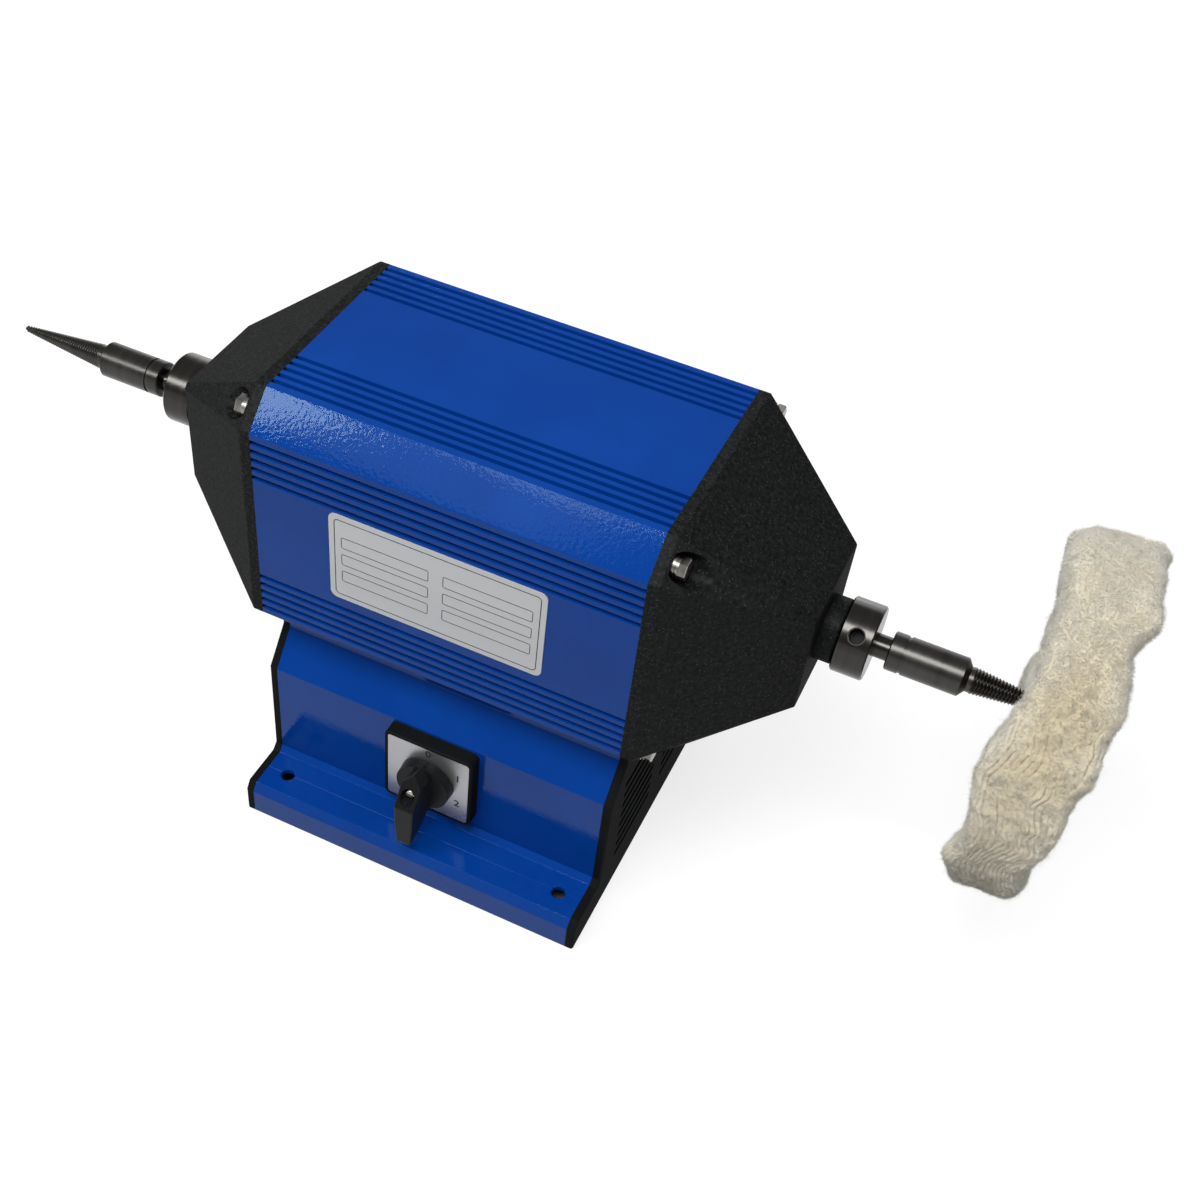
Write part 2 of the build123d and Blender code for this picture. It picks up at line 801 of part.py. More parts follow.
scribe_outline = [
    (bench_hole_y - scribe_width / 2, flange_height),
    (bench_hole_y, flange_height - scribe_depth),
    (bench_hole_y + scribe_width / 2, flange_height),
]
base_length = 2 * base_end
ledge_middle = wall_inner - ledge_width / 2
with BuildPart() as base_extrusion:
    with BuildSketch(end_plane(1, 0, 0)) as base_section:
        Polygon(*both_halves(body_outline[:-1] + [(wall_half, 0)]))
        upper_corners = base_section.vertices().filter_by_position(Axis.Y, wall_top - 1, base_height + 1)
        fillet(upper_corners, base_edge_radius)
        Polygon(*inner_outline, mode=Mode.SUBTRACT)
        for sign in (-1, 1):
            with Locations((sign * ledge_middle, plate_thickness + ledge_thickness / 2)):
                Rectangle(ledge_width, ledge_thickness)
    extrude(amount=base_end, both=True)
    with BuildSketch(Plane.XY.offset(plate_thickness)):
        with GridLocations(base_length - 2 * plate_screw_inset_x, 2 * ledge_middle, 2, 2):
            Circle(plate_screw_diameter / 2 + thread_clearance)
    extrude(amount=ledge_thickness, mode=Mode.SUBTRACT)
    with BuildSketch(Plane.XY.offset(base_height)):
        with GridLocations(seat_screw_spacing_x, seat_screw_spacing_y, 2, 2):
            Circle(seat_screw_diameter / 2 + screw_clearance)
        with Locations((lead_x, 0)):
            Circle(lead_hole_diameter / 2)
    extrude(amount=-base_deck, mode=Mode.SUBTRACT)
    with BuildSketch(switch_plane):
        Circle(switch_neck_diameter / 2 + slide_clearance)
        with GridLocations(switch_screw_spacing, switch_screw_spacing, 2, 2):
            Circle(switch_screw_diameter / 2 + screw_clearance)
    extrude(amount=-base_wall, mode=Mode.SUBTRACT)
    with BuildSketch(gland_plane):
        Circle(gland_thread / 2 + slide_clearance)
    extrude(amount=-base_wall, mode=Mode.SUBTRACT)
write(base_extrusion, "base_extrusion")

with BuildPart() as bench_flanges:
    for sign in (-1, 1):
        with BuildSketch(end_plane(1, 0, 0)) as flange_section:
            Polygon(*[(sign * y, z) for y, z in flange_outline])
            free_corners = [v for v in flange_section.vertices() if abs(v.X) > wall_half + base_edge_radius]
            fillet(free_corners, base_edge_radius)
            Polygon(*[(sign * y, z) for y, z in scribe_outline], mode=Mode.SUBTRACT)
        extrude(amount=base_end, both=True)
    with BuildSketch(Plane.XY.offset(flange_height)):
        with GridLocations(bench_hole_spacing_x, 2 * bench_hole_y, 2, 2):
            Circle(bench_hole_diameter / 2)
    extrude(amount=-flange_height, mode=Mode.SUBTRACT)
    with BuildSketch(Plane.XY.offset(flange_height)):
        with GridLocations(bench_hole_spacing_x, 2 * bench_hole_y, 2, 2):
            Circle(bench_hole_diameter / 2 + bench_hole_edge)
    extrude(amount=-bench_hole_edge, taper=bench_hole_taper, mode=Mode.SUBTRACT)
write(bench_flanges, "bench_flanges")

# End caps: the base's own outline, louvred, with two tabs that plug in along the side walls
louvre_length = wall_half - louvre_margin - louvre_rib / 2
louvre_middle = louvre_rib / 2 + louvre_length / 2
louvre_first = louvre_bottom + louvre_height / 2
louvre_places = [
    (sign * louvre_middle, louvre_first + i * louvre_pitch)
    for sign in (-1, 1)
    for i in range(louvre_count)
]
tab_y = wall_inner - slide_clearance - cap_tab_thickness / 2
tab_z = (flange_height + wall_top) / 2
for side, side_name in sides:
    with BuildPart() as base_cap:
        with BuildSketch(end_plane(side, base_end, 0)) as cap_section:
            Polygon(*base_outline)
            fillet(cap_section.vertices(), base_edge_radius)
        extrude(amount=cap_thickness)
        fillet(edges_at(base_cap, side * housing_end), cap_edge_radius)
        with BuildSketch(end_plane(side, base_end, 0)):
            with Locations(*louvre_places):
                RectangleRounded(louvre_length, louvre_height, louvre_radius)
        extrude(amount=cap_thickness, mode=Mode.SUBTRACT)
        with BuildSketch(end_plane(side, base_end, 0)):
            with Locations((-tab_y, tab_z), (tab_y, tab_z)):
                Rectangle(cap_tab_thickness, cap_tab_height)
        extrude(amount=-cap_tab_length)
    write(base_cap, f"{side_name}_base_cap")

# Bottom plate, let in between the side walls and screwed up to the ledges
plate_screws_x = base_length - 2 * plate_screw_inset_x
plate_head_height = (plate_screw_head - plate_screw_diameter) / 2
plate_screw_length = plate_thickness + ledge_thickness - plate_screw_sink - plate_head_height
with BuildPart() as bottom_plate:
    with BuildSketch(Plane.XY):
        Rectangle(base_length - 2 * cover_clearance, 2 * (wall_inner - cover_clearance))
    extrude(amount=plate_thickness)
    with Locations((0, 0, plate_screw_sink)):
        with GridLocations(plate_screws_x, 2 * ledge_middle, 2, 2):
            Cone(
                plate_screw_head / 2 + thread_clearance,
                plate_screw_diameter / 2 + thread_clearance,
                plate_head_height,
                align=(Align.CENTER, Align.CENTER, Align.MIN),
                mode=Mode.SUBTRACT,
            )
    with BuildSketch(Plane.XY):
        with GridLocations(plate_screws_x, 2 * ledge_middle, 2, 2):
            Circle(plate_screw_head / 2 + thread_clearance)
    extrude(amount=plate_screw_sink, mode=Mode.SUBTRACT)
    with BuildSketch(Plane.XY):
        with GridLocations(plate_screws_x, 2 * ledge_middle, 2, 2):
            Circle(plate_screw_diameter / 2 + thread_clearance)
    extrude(amount=plate_thickness, mode=Mode.SUBTRACT)
write(bottom_plate, "bottom_plate")

with BuildPart() as plate_screws:
    with Locations((0, 0, plate_screw_sink)):
        with GridLocations(plate_screws_x, 2 * ledge_middle, 2, 2):
            Cone(
                plate_screw_head / 2,
                plate_screw_diameter / 2,
                plate_head_height,
                align=(Align.CENTER, Align.CENTER, Align.MIN),
            )
    with BuildSketch(Plane.XY.offset(plate_screw_sink + plate_head_height)):
        with GridLocations(plate_screws_x, 2 * ledge_middle, 2, 2):
            Circle(plate_screw_diameter / 2)
    extrude(amount=plate_screw_length)
write(plate_screws, "plate_screws")

# Seat screws from inside the base up into the housing
with BuildPart() as seat_screws:
    with BuildSketch(Plane.XY.offset(deck_bottom)):
        with GridLocations(seat_screw_spacing_x, seat_screw_spacing_y, 2, 2):
            Circle(seat_screw_head / 2)
    extrude(amount=-seat_screw_head_height)
    with BuildSketch(Plane.XY.offset(deck_bottom)):
        with GridLocations(seat_screw_spacing_x, seat_screw_spacing_y, 2, 2):
            Circle(seat_screw_diameter / 2)
    extrude(amount=base_deck + seat_screw_grip)
write(seat_screws, "seat_screws")

# Grommet where the motor leads pass from the housing into the base
with BuildPart() as lead_grommet:
    with BuildSketch(Plane.XY.offset(deck_bottom - grommet_flange)):
        with Locations((lead_x, 0)):
            Circle(lead_hole_diameter / 2 + grommet_flange)
    extrude(amount=grommet_flange)
    with BuildSketch(Plane.XY.offset(deck_bottom)):
        with Locations((lead_x, 0)):
            Circle(lead_hole_diameter / 2 - thread_clearance)
    extrude(amount=base_deck + grommet_rise)
    with BuildSketch(Plane.XY.offset(deck_bottom - grommet_flange)):
        with Locations((lead_x, 0)):
            Circle(lead_diameter / 2 + slide_clearance)
    extrude(amount=grommet_flange + base_deck + grommet_rise, mode=Mode.SUBTRACT)
write(lead_grommet, "lead_grommet")

# Leads: motor to terminal block, switch to terminal block, capacitor to terminal block
switch_back = -wall_inner + switch_body_depth
switch_lead_z = switch_z - switch_body_width / 4
switch_lead_x = lead_x - block_length / 3
capacitor_lead_x = lead_x + block_length / 4
capacitor_lead_z = plate_thickness + block_height / 2
lead_routes = {
    "motor_leads": [
        (winding_end, 0, lead_height),
        (lead_x, 0, lead_height),
        (lead_x, 0, block_top),
    ],
    "switch_leads": [
        (0, switch_back, switch_lead_z),
        (0, 0, switch_lead_z),
        (switch_lead_x, 0, switch_lead_z),
        (switch_lead_x, 0, block_top),
    ],
    "capacitor_leads": [
        (capacitor_length / 2, capacitor_y, capacitor_lead_z),
        (capacitor_lead_x, capacitor_y, capacitor_lead_z),
        (capacitor_lead_x, block_width / 2, capacitor_lead_z),
    ],
}
for lead_name, route in lead_routes.items():
    with BuildPart() as leads:
        with BuildLine() as lead_path:
            FilletPolyline(*route, radius=lead_bend)
        with BuildSketch(Plane(origin=lead_path.line @ 0, z_dir=lead_path.line % 0)):
            Circle(lead_diameter / 2)
        sweep()
    write(leads, lead_name)

# Run capacitor lying along the back wall, held by a strap clamp
with BuildPart() as run_capacitor:
    with BuildSketch(Plane(origin=(-capacitor_length / 2, capacitor_y, capacitor_z), z_dir=(1, 0, 0))):
        Circle(capacitor_diameter / 2)
    extrude(amount=capacitor_length)
    fillet(run_capacitor.edges().filter_by(GeomType.CIRCLE), capacitor_edge)
write(run_capacitor, "run_capacitor")

clamp_radius = capacitor_diameter / 2 + clamp_thickness
foot_reach = clamp_radius + clamp_foot
with BuildPart() as capacitor_clamp:
    with BuildSketch(end_plane(1, -clamp_width / 2, 0)):
        with Locations((capacitor_y, capacitor_z)):
            Circle(clamp_radius)
        with Locations((capacitor_y - foot_reach / 2, plate_thickness + clamp_thickness / 2)):
            Rectangle(foot_reach, clamp_thickness)
        with Locations((capacitor_y, capacitor_z)):
            Circle(capacitor_diameter / 2 + press_clearance, mode=Mode.SUBTRACT)
    extrude(amount=clamp_width)
    with BuildSketch(Plane.XY.offset(plate_thickness)):
        with Locations((0, capacitor_y - foot_reach + clamp_foot / 2)):
            Circle(small_screw_diameter / 2 + thread_clearance)
    extrude(amount=clamp_thickness, mode=Mode.SUBTRACT)
write(capacitor_clamp, "capacitor_clamp")

clamp_top = plate_thickness + clamp_thickness
with BuildPart() as clamp_screw:
    with BuildSketch(Plane.XY.offset(clamp_top)):
        with Locations((0, capacitor_y - foot_reach + clamp_foot / 2)):
            Circle(small_screw_head / 2)
    extrude(amount=small_screw_head_height)
    with BuildSketch(Plane.XY.offset(plate_thickness)):
        with Locations((0, capacitor_y - foot_reach + clamp_foot / 2)):
            Circle(small_screw_diameter / 2)
    extrude(amount=clamp_thickness)
write(clamp_screw, "clamp_screw")

# Terminal block under the lead hole, with a screw in each well
well_pitch = block_length / block_well_count
with BuildPart() as terminal_block:
    with BuildSketch(Plane.XY.offset(plate_thickness)):
        with Locations((lead_x, 0)):
            Rectangle(block_length, block_width)
    extrude(amount=block_height)
    with BuildSketch(Plane.XY.offset(block_top)):
        with Locations((lead_x, block_width / 2 - block_well_diameter)):
            with GridLocations(well_pitch, 1, block_well_count, 1):
                Circle(block_well_diameter / 2)
    extrude(amount=-block_well_depth, mode=Mode.SUBTRACT)
write(terminal_block, "terminal_block")

with BuildPart() as terminal_screws:
    with BuildSketch(Plane.XY.offset(block_top - block_well_depth)):
        with Locations((lead_x, block_width / 2 - block_well_diameter)):
            with GridLocations(well_pitch, 1, block_well_count, 1):
                Circle(block_well_diameter / 2 - slide_clearance)
    extrude(amount=block_screw_height)
write(terminal_screws, "terminal_screws")

# Earth screw standing on the bottom plate
with BuildPart() as earth_screw:
    with BuildSketch(Plane.XY.offset(plate_thickness)):
        with Locations((gland_offset_x, 0)):
            RegularPolygon(earth_head_width / 2, 6, major_radius=False)
    extrude(amount=earth_head_height)
    with BuildSketch(Plane.XY.offset(plate_thickness + earth_head_height)):
        with Locations((gland_offset_x, 0)):
            Circle(earth_screw_diameter / 2)
    extrude(amount=earth_screw_length)
write(earth_screw, "earth_screw")

# Cable gland through the back wall, with its nut inside
gland_tail = base_wall + gland_nut_height + gland_nut_margin
with BuildPart() as cable_gland:
    with BuildSketch(gland_plane):
        RegularPolygon(gland_hex / 2, 6, major_radius=False)
    extrude(amount=gland_hex_height)
    with BuildSketch(gland_plane.offset(gland_hex_height)):
        Circle(gland_dome_diameter / 2)
    extrude(amount=gland_dome_length)
    fillet(cable_gland.edges().filter_by(GeomType.CIRCLE).sort_by(Axis.Y)[-1], gland_dome_radius)
    with BuildSketch(gland_plane.offset(-gland_tail)):
        Circle(gland_thread / 2)
    extrude(amount=gland_tail)
    with BuildSketch(gland_plane.offset(-gland_tail)):
        Circle(gland_bore / 2)
    extrude(amount=gland_tail + gland_hex_height + gland_dome_length, mode=Mode.SUBTRACT)
write(cable_gland, "cable_gland")

with BuildPart() as gland_nut:
    with BuildSketch(gland_plane.offset(-base_wall)):
        RegularPolygon(gland_hex / 2, 6, major_radius=False)
        Circle(gland_thread / 2 + thread_clearance, mode=Mode.SUBTRACT)
    extrude(amount=-gland_nut_height)
write(gland_nut, "gland_nut")

# Switch frame: a square bezel on the front wall, recessed for the dial plate
dial_size = switch_size - 2 * dial_margin
dial_floor = switch_thickness - dial_recess
screw_floor = dial_floor - switch_screw_head_height - slide_clearance
with BuildPart() as switch_frame:
    with BuildSketch(switch_plane):
        RectangleRounded(switch_size, switch_size, switch_radius)
    extrude(amount=switch_thickness)
    chamfer(switch_frame.faces().sort_by(Axis.Y)[0].edges(), switch_edge)
    with BuildSketch(switch_plane.offset(dial_floor)):
        RectangleRounded(dial_size, dial_size, switch_radius - dial_margin)
    extrude(amount=dial_recess, mode=Mode.SUBTRACT)
    with BuildSketch(switch_plane):
        Circle(dial_hole_diameter / 2)
        with GridLocations(switch_screw_spacing, switch_screw_spacing, 2, 2):
            Circle(switch_screw_diameter / 2 + screw_clearance)
    extrude(amount=switch_thickness, mode=Mode.SUBTRACT)
    with BuildSketch(switch_plane.offset(screw_floor)):
        with GridLocations(switch_screw_spacing, switch_screw_spacing, 2, 2):
            Circle(switch_screw_head / 2 + screw_clearance)
    extrude(amount=switch_thickness, mode=Mode.SUBTRACT)
write(switch_frame, "switch_frame")

with BuildPart() as dial_plate:
    with BuildSketch(switch_plane.offset(dial_floor)):
        dial_width = dial_size - 2 * slide_clearance
        RectangleRounded(dial_width, dial_width, switch_radius - dial_margin - slide_clearance)
        Circle(dial_hole_diameter / 2, mode=Mode.SUBTRACT)
    extrude(amount=dial_thickness)
write(dial_plate, "dial_plate")

# Switch body behind the wall, with a neck through it and a bore for the switch shaft
with BuildPart() as switch_body:
    with BuildSketch(switch_plane.offset(-base_wall)):
        Rectangle(switch_body_width, switch_body_width)
    extrude(amount=-switch_body_depth)
    with BuildSketch(switch_plane.offset(-base_wall)):
        Circle(switch_neck_diameter / 2)
    extrude(amount=base_wall)
    with BuildSketch(switch_plane):
        Circle(switch_shaft_diameter / 2 + running_clearance)
    extrude(amount=-switch_shaft_depth - blind_hole_margin, mode=Mode.SUBTRACT)
    with BuildSketch(switch_plane.offset(-base_wall)):
        with GridLocations(switch_screw_spacing, switch_screw_spacing, 2, 2):
            Circle(switch_screw_diameter / 2 + thread_clearance)
    extrude(amount=-switch_screw_grip - blind_hole_margin, mode=Mode.SUBTRACT)
write(switch_body, "switch_body")

with BuildPart() as switch_screws:
    with BuildSketch(switch_plane.offset(screw_floor)):
        with GridLocations(switch_screw_spacing, switch_screw_spacing, 2, 2):
            Circle(switch_screw_head / 2)
    extrude(amount=switch_screw_head_height)
    with BuildSketch(switch_plane.offset(screw_floor)):
        with GridLocations(switch_screw_spacing, switch_screw_spacing, 2, 2):
            Circle(switch_screw_diameter / 2)
    extrude(amount=-screw_floor - base_wall - switch_screw_grip)
write(switch_screws, "switch_screws")

# Switch shaft with the driver disc that carries the knob
driver_back = knob_back + driver_gap
driver_front = driver_back + driver_thickness
with BuildPart() as switch_shaft:
    with BuildSketch(switch_plane.offset(-switch_shaft_depth)):
        Circle(switch_shaft_diameter / 2)
    extrude(amount=switch_shaft_depth + driver_back)
    with BuildSketch(switch_plane.offset(driver_back)):
        Circle(driver_diameter / 2)
    extrude(amount=driver_thickness)
    with BuildSketch(switch_plane.offset(driver_back)):
        with Locations((0, knob_screw_rise)):
            Circle(knob_screw_diameter / 2 + thread_clearance)
    extrude(amount=driver_thickness, mode=Mode.SUBTRACT)
write(switch_shaft, "switch_shaft")

# Knob: a bar grip with a pointed top on a tapered skirt, hollowed for the driver disc
knob_side_plane = Plane(
    origin=(0, -wall_half - switch_thickness, switch_z),
    x_dir=(0, -1, 0),
    z_dir=(-1, 0, 0),
)
grip_half = grip_width / 2
grip_top = prow_rise + prow_lean * grip_break_height
face_lean = (grip_break_height - grip_shoulder_height) / (grip_shoulder_rise - grip_break_rise)
face_top_height = grip_shoulder_height - face_lean * (grip_top - grip_shoulder_rise)
waist_drop = (grip_tail_drop - grip_break_rise) / 2
prow_reach = 2 * grip_half
prow_floor = prow_rise - prow_depth * prow_reach / grip_half
with BuildPart() as switch_knob:
    with BuildSketch(knob_side_plane):
        Polygon(
            (grip_root_height, grip_top),
            (face_top_height, grip_top),
            (grip_break_height, grip_break_rise),
            (grip_break_height, -grip_tail_drop),
            (grip_heel_height, -grip_heel_drop),
            (knob_gap + skirt_height, -grip_root_drop),
            (grip_root_height, -grip_root_drop),
        )
    extrude(amount=grip_half, both=True)
    with BuildSketch(switch_plane):
        Polygon(
            (grip_half, grip_top),
            (grip_half, grip_break_rise),
            (grip_waist_width / 2, -waist_drop),
            (grip_tail_width / 2, -grip_tail_drop),
            (-grip_tail_width / 2, -grip_tail_drop),
            (-grip_waist_width / 2, -waist_drop),
            (-grip_half, grip_break_rise),
            (-grip_half, grip_top),
        )
    extrude(amount=switch_thickness + grip_break_height, mode=Mode.INTERSECT)
    with BuildSketch(switch_plane.offset(switch_thickness)):
        Polygon(
            (0, prow_rise),
            (prow_reach, prow_floor),
            (prow_reach, -2 * grip_tail_drop),
            (-prow_reach, -2 * grip_tail_drop),
            (-prow_reach, prow_floor),
        )
    extrude(amount=2 * grip_break_height, dir=(0, -1, prow_lean), mode=Mode.INTERSECT)
    fillet(switch_knob.edges(), grip_edge)
    with BuildSketch(knob_side_plane):
        Polygon(
            (knob_gap, 0),
            (knob_gap, skirt_diameter / 2),
            (knob_gap + skirt_height, skirt_top_diameter / 2),
            (knob_gap + skirt_height, 0),
        )
    revolve(axis=switch_axis)
    with BuildSketch(switch_plane.offset(knob_back)):
        Circle(driver_diameter / 2 + slide_clearance)
    extrude(amount=driver_gap + driver_thickness, mode=Mode.SUBTRACT)
    with BuildSketch(switch_plane.offset(knob_back)):
        with Locations((0, knob_screw_rise)):
            Circle(knob_screw_diameter / 2 + screw_clearance)
    extrude(amount=knob_screw_floor, mode=Mode.SUBTRACT)
    with BuildSketch(switch_plane.offset(switch_thickness + knob_screw_floor)):
        with Locations((0, knob_screw_rise)):
            Circle(knob_recess_diameter / 2)
    extrude(amount=grip_break_height, mode=Mode.SUBTRACT)
write(switch_knob, "switch_knob")

with BuildPart() as knob_screw:
    with BuildSketch(switch_plane.offset(switch_thickness + knob_screw_floor)):
        with Locations((0, knob_screw_rise)):
            Circle(knob_screw_head / 2)
    extrude(amount=knob_screw_head_height)
    fillet(knob_screw.edges().group_by(Axis.Y)[0], knob_screw_dome)
    with BuildSketch(switch_plane.offset(switch_thickness + knob_screw_floor + knob_screw_head_height)):
        with Locations((0, knob_screw_rise)):
            Rectangle(knob_screw_head, knob_screw_slot_width)
    extrude(amount=-knob_screw_slot_depth, mode=Mode.SUBTRACT)
    with BuildSketch(switch_plane.offset(driver_back)):
        with Locations((0, knob_screw_rise)):
            Circle(knob_screw_diameter / 2)
    extrude(amount=switch_thickness + knob_screw_floor - driver_back)
write(knob_screw, "knob_screw")
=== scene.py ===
"""A double head polishing machine on a pale floor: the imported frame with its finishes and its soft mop."""

import json
import math

import bmesh
import bpy
import numpy as np
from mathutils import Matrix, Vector


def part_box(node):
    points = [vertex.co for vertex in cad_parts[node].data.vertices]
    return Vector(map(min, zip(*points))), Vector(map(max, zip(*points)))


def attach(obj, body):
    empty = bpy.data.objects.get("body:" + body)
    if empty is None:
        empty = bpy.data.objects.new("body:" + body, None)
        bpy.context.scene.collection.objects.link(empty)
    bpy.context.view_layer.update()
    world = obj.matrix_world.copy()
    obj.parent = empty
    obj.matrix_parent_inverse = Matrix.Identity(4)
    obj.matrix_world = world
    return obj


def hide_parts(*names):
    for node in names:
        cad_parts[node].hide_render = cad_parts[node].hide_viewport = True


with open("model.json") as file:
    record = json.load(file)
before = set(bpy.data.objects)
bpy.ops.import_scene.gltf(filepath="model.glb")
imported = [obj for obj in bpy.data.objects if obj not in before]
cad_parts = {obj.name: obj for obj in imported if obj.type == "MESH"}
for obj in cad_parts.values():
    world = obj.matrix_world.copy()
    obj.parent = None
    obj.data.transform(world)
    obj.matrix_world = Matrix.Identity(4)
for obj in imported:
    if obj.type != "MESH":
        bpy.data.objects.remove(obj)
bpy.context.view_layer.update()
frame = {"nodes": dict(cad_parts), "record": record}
nodes = frame["nodes"]

MM = 0.001
FULL_TURN = 2 * np.pi
THIRDS = (0.0, FULL_TURN / 3, 2 * FULL_TURN / 3)


def box_mm(node):
    """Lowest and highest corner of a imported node, in millimetres."""
    return [np.array(corner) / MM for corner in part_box(node)]


collar_low, collar_high = box_mm("right_collar")
AXIS_Z = (collar_low[2] + collar_high[2]) / 2


# Building blocks for numpy surfaces

CELL_MARGIN = 0.1


def ring_faces(rows, columns, closed):
    """Quads of a grid whose columns run round a ring. Each quad joins a row to the next one and a column to
    its neighbour; when the grid is closed, the last row also joins the first."""
    row = np.arange(rows if closed else rows - 1)[:, None]
    column = np.arange(columns)[None, :]
    onward = (column + 1) % columns
    lower = row * columns
    upper = (row + 1) % rows * columns
    return np.stack([lower + column, lower + onward, upper + onward, upper + column], -1).reshape(-1, 4)


def put(name, data):
    """A new object with the given data, linked into the scene."""
    made = bpy.data.objects.new(name, data)
    bpy.context.scene.collection.objects.link(made)
    return made


def mesh_mm(name, points, faces):
    """A mesh from points in millimetres and faces, each a list of point numbers."""
    mesh = bpy.data.meshes.new(name)
    mesh.from_pydata((np.asarray(points).reshape(-1, 3) * MM).tolist(), [], faces)
    return mesh


def shade_smooth(mesh):
    """Shades every face of a mesh smooth."""
    mesh.polygons.foreach_set("use_smooth", np.ones(len(mesh.polygons), bool))


def as_piece(name, points, faces, material, slot, body, sharp=None):
    """Puts points in millimetres and their faces into one mesh object that rides on a body. Shading is
    smooth, with edges sharper than the given angle in degrees kept crisp."""
    mesh = mesh_mm(name, points, np.asarray(faces).tolist())
    shade_smooth(mesh)
    if sharp:
        mesh.set_sharp_from_angle(angle=math.radians(sharp))
    mesh.materials.append(material)
    mesh.update()
    piece = put(name, mesh)
    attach(piece, body)
    return piece


def bake_map(piece, corners):
    """Gives a piece a map of its own, with one place in the unit square for each corner of each face."""
    piece.data.uv_layers.new(name="OFBake").data.foreach_set("uv", np.asarray(corners, float).ravel())


def set_values(piece, name, values):
    """Gives each point of a piece a number under a name, for its material to read."""
    numbers = np.asarray(values, float).ravel()
    piece.data.attributes.new(name, "FLOAT", "POINT").data.foreach_set("value", numbers)


def own_cells(count, places):
    """Map corners for many like shapes: each has a cell of a square grid with a margin round it, and places
    are its face corners inside."""
    side = math.ceil(math.sqrt(count))
    cell = np.stack(np.divmod(np.arange(count), side), -1)[:, None, None, :]
    return (cell + CELL_MARGIN + (1 - 2 * CELL_MARGIN) * np.asarray(places, float)) / side


def close_poles(piece, gap=0.001):
    """Merges points that lie within a gap in millimetres, so that rings of no radius become one point, and
    turns faces outwards."""
    work = bmesh.new()
    work.from_mesh(piece.data)
    bmesh.ops.remove_doubles(work, verts=work.verts, dist=gap * MM)
    bmesh.ops.recalc_face_normals(work, faces=work.faces)
    work.to_mesh(piece.data)
    work.free()


def smoothstep(low, high, value):
    """0 below low, 1 above high, and a cubic ease between them."""
    share = np.clip((value - low) / (high - low), 0.0, 1.0)
    return share * share * (3.0 - 2.0 * share)


def soft_noise(seed, round_cells, across_cells, turn, across):
    """Random values on a lattice that closes round the turn, eased between lattice points.
    turn and across both run from 0 to 1; the result is roughly -1 to 1."""
    lattice = np.random.default_rng(seed).uniform(-1.0, 1.0, (across_cells + 2, round_cells))
    u = turn * round_cells
    v = across * across_cells
    u_cell = np.floor(u).astype(int)
    v_cell = np.clip(np.floor(v).astype(int), 0, across_cells)
    u_ease = smoothstep(0.0, 1.0, u - u_cell)
    v_ease = smoothstep(0.0, 1.0, v - v_cell)
    left = u_cell % round_cells
    right = (u_cell + 1) % round_cells
    near = lattice[v_cell, left] * (1 - u_ease) + lattice[v_cell, right] * u_ease
    far = lattice[v_cell + 1, left] * (1 - u_ease) + lattice[v_cell + 1, right] * u_ease
    return near * (1 - v_ease) + far * v_ease


def unit(vectors):
    """Vectors scaled to length one."""
    return vectors / np.linalg.norm(vectors, axis=-1, keepdims=True)


def round_shaft(x, radius, angle):
    """Points at a distance along the shaft and a radius from its axis, at an angle up from the front."""
    spots = np.broadcast_arrays(x, -radius * np.cos(angle), AXIS_Z + radius * np.sin(angle))
    return np.stack(spots, -1)


# Shader effects that several finishes share

GRAIN_SIZE = (0.45, 0.15)
CHAMFER_HALF = 12.7
CHAMFER_CROWN = 240.0


def add(tree, kind, inputs=None, **settings):
    """Adds one shader node, sets its properties and gives each named input a value or a link."""
    made = tree.nodes.new("ShaderNode" + kind)
    for name, value in settings.items():
        setattr(made, name, value)
    for name, value in (inputs or {}).items():
        if isinstance(value, bpy.types.NodeSocket):
            tree.links.new(value, made.inputs[name])
        else:
            made.inputs[name].default_value = value
    return made


def effect_group(name, inputs, outputs):
    """An empty shader group with named sockets; gives its tree, its inputs and its outputs."""
    group = bpy.data.node_groups.new(name, "ShaderNodeTree")
    for label, kind, value in inputs:
        socket = group.interface.new_socket(label, in_out="INPUT", socket_type="NodeSocket" + kind)
        socket.default_value = value
    for label, kind in outputs:
        group.interface.new_socket(label, in_out="OUTPUT", socket_type="NodeSocket" + kind)
    return group, group.nodes.new("NodeGroupInput").outputs, group.nodes.new("NodeGroupOutput").inputs


def make_surface_grain():
    """Noise over the object, stretched along each axis: a fine Height for bump and a slow Tone for colour
    and gloss."""
    group, given, out = effect_group(
        "surface_grain",
        [("Scale", "Float", 500.0), ("Stretch", "Vector", (1, 1, 1)), ("Tone Scale", "Float", 20.0)],
        [("Height", "Float"), ("Tone", "Float")],
    )
    place = add(group, "TexCoord").outputs["Object"]
    stretched = add(group, "VectorMath", {0: place, 1: given["Stretch"]}, operation="MULTIPLY").outputs[0]
    fine = add(group, "TexNoise", {"Vector": stretched, "Scale": given["Scale"], "Detail": 2.0})
    slow = add(group, "TexNoise", {"Vector": stretched, "Scale": given["Tone Scale"], "Detail": 3.0})
    group.links.new(fine.outputs["Fac"], out["Height"])
    group.links.new(slow.outputs["Fac"], out["Tone"])
    return group


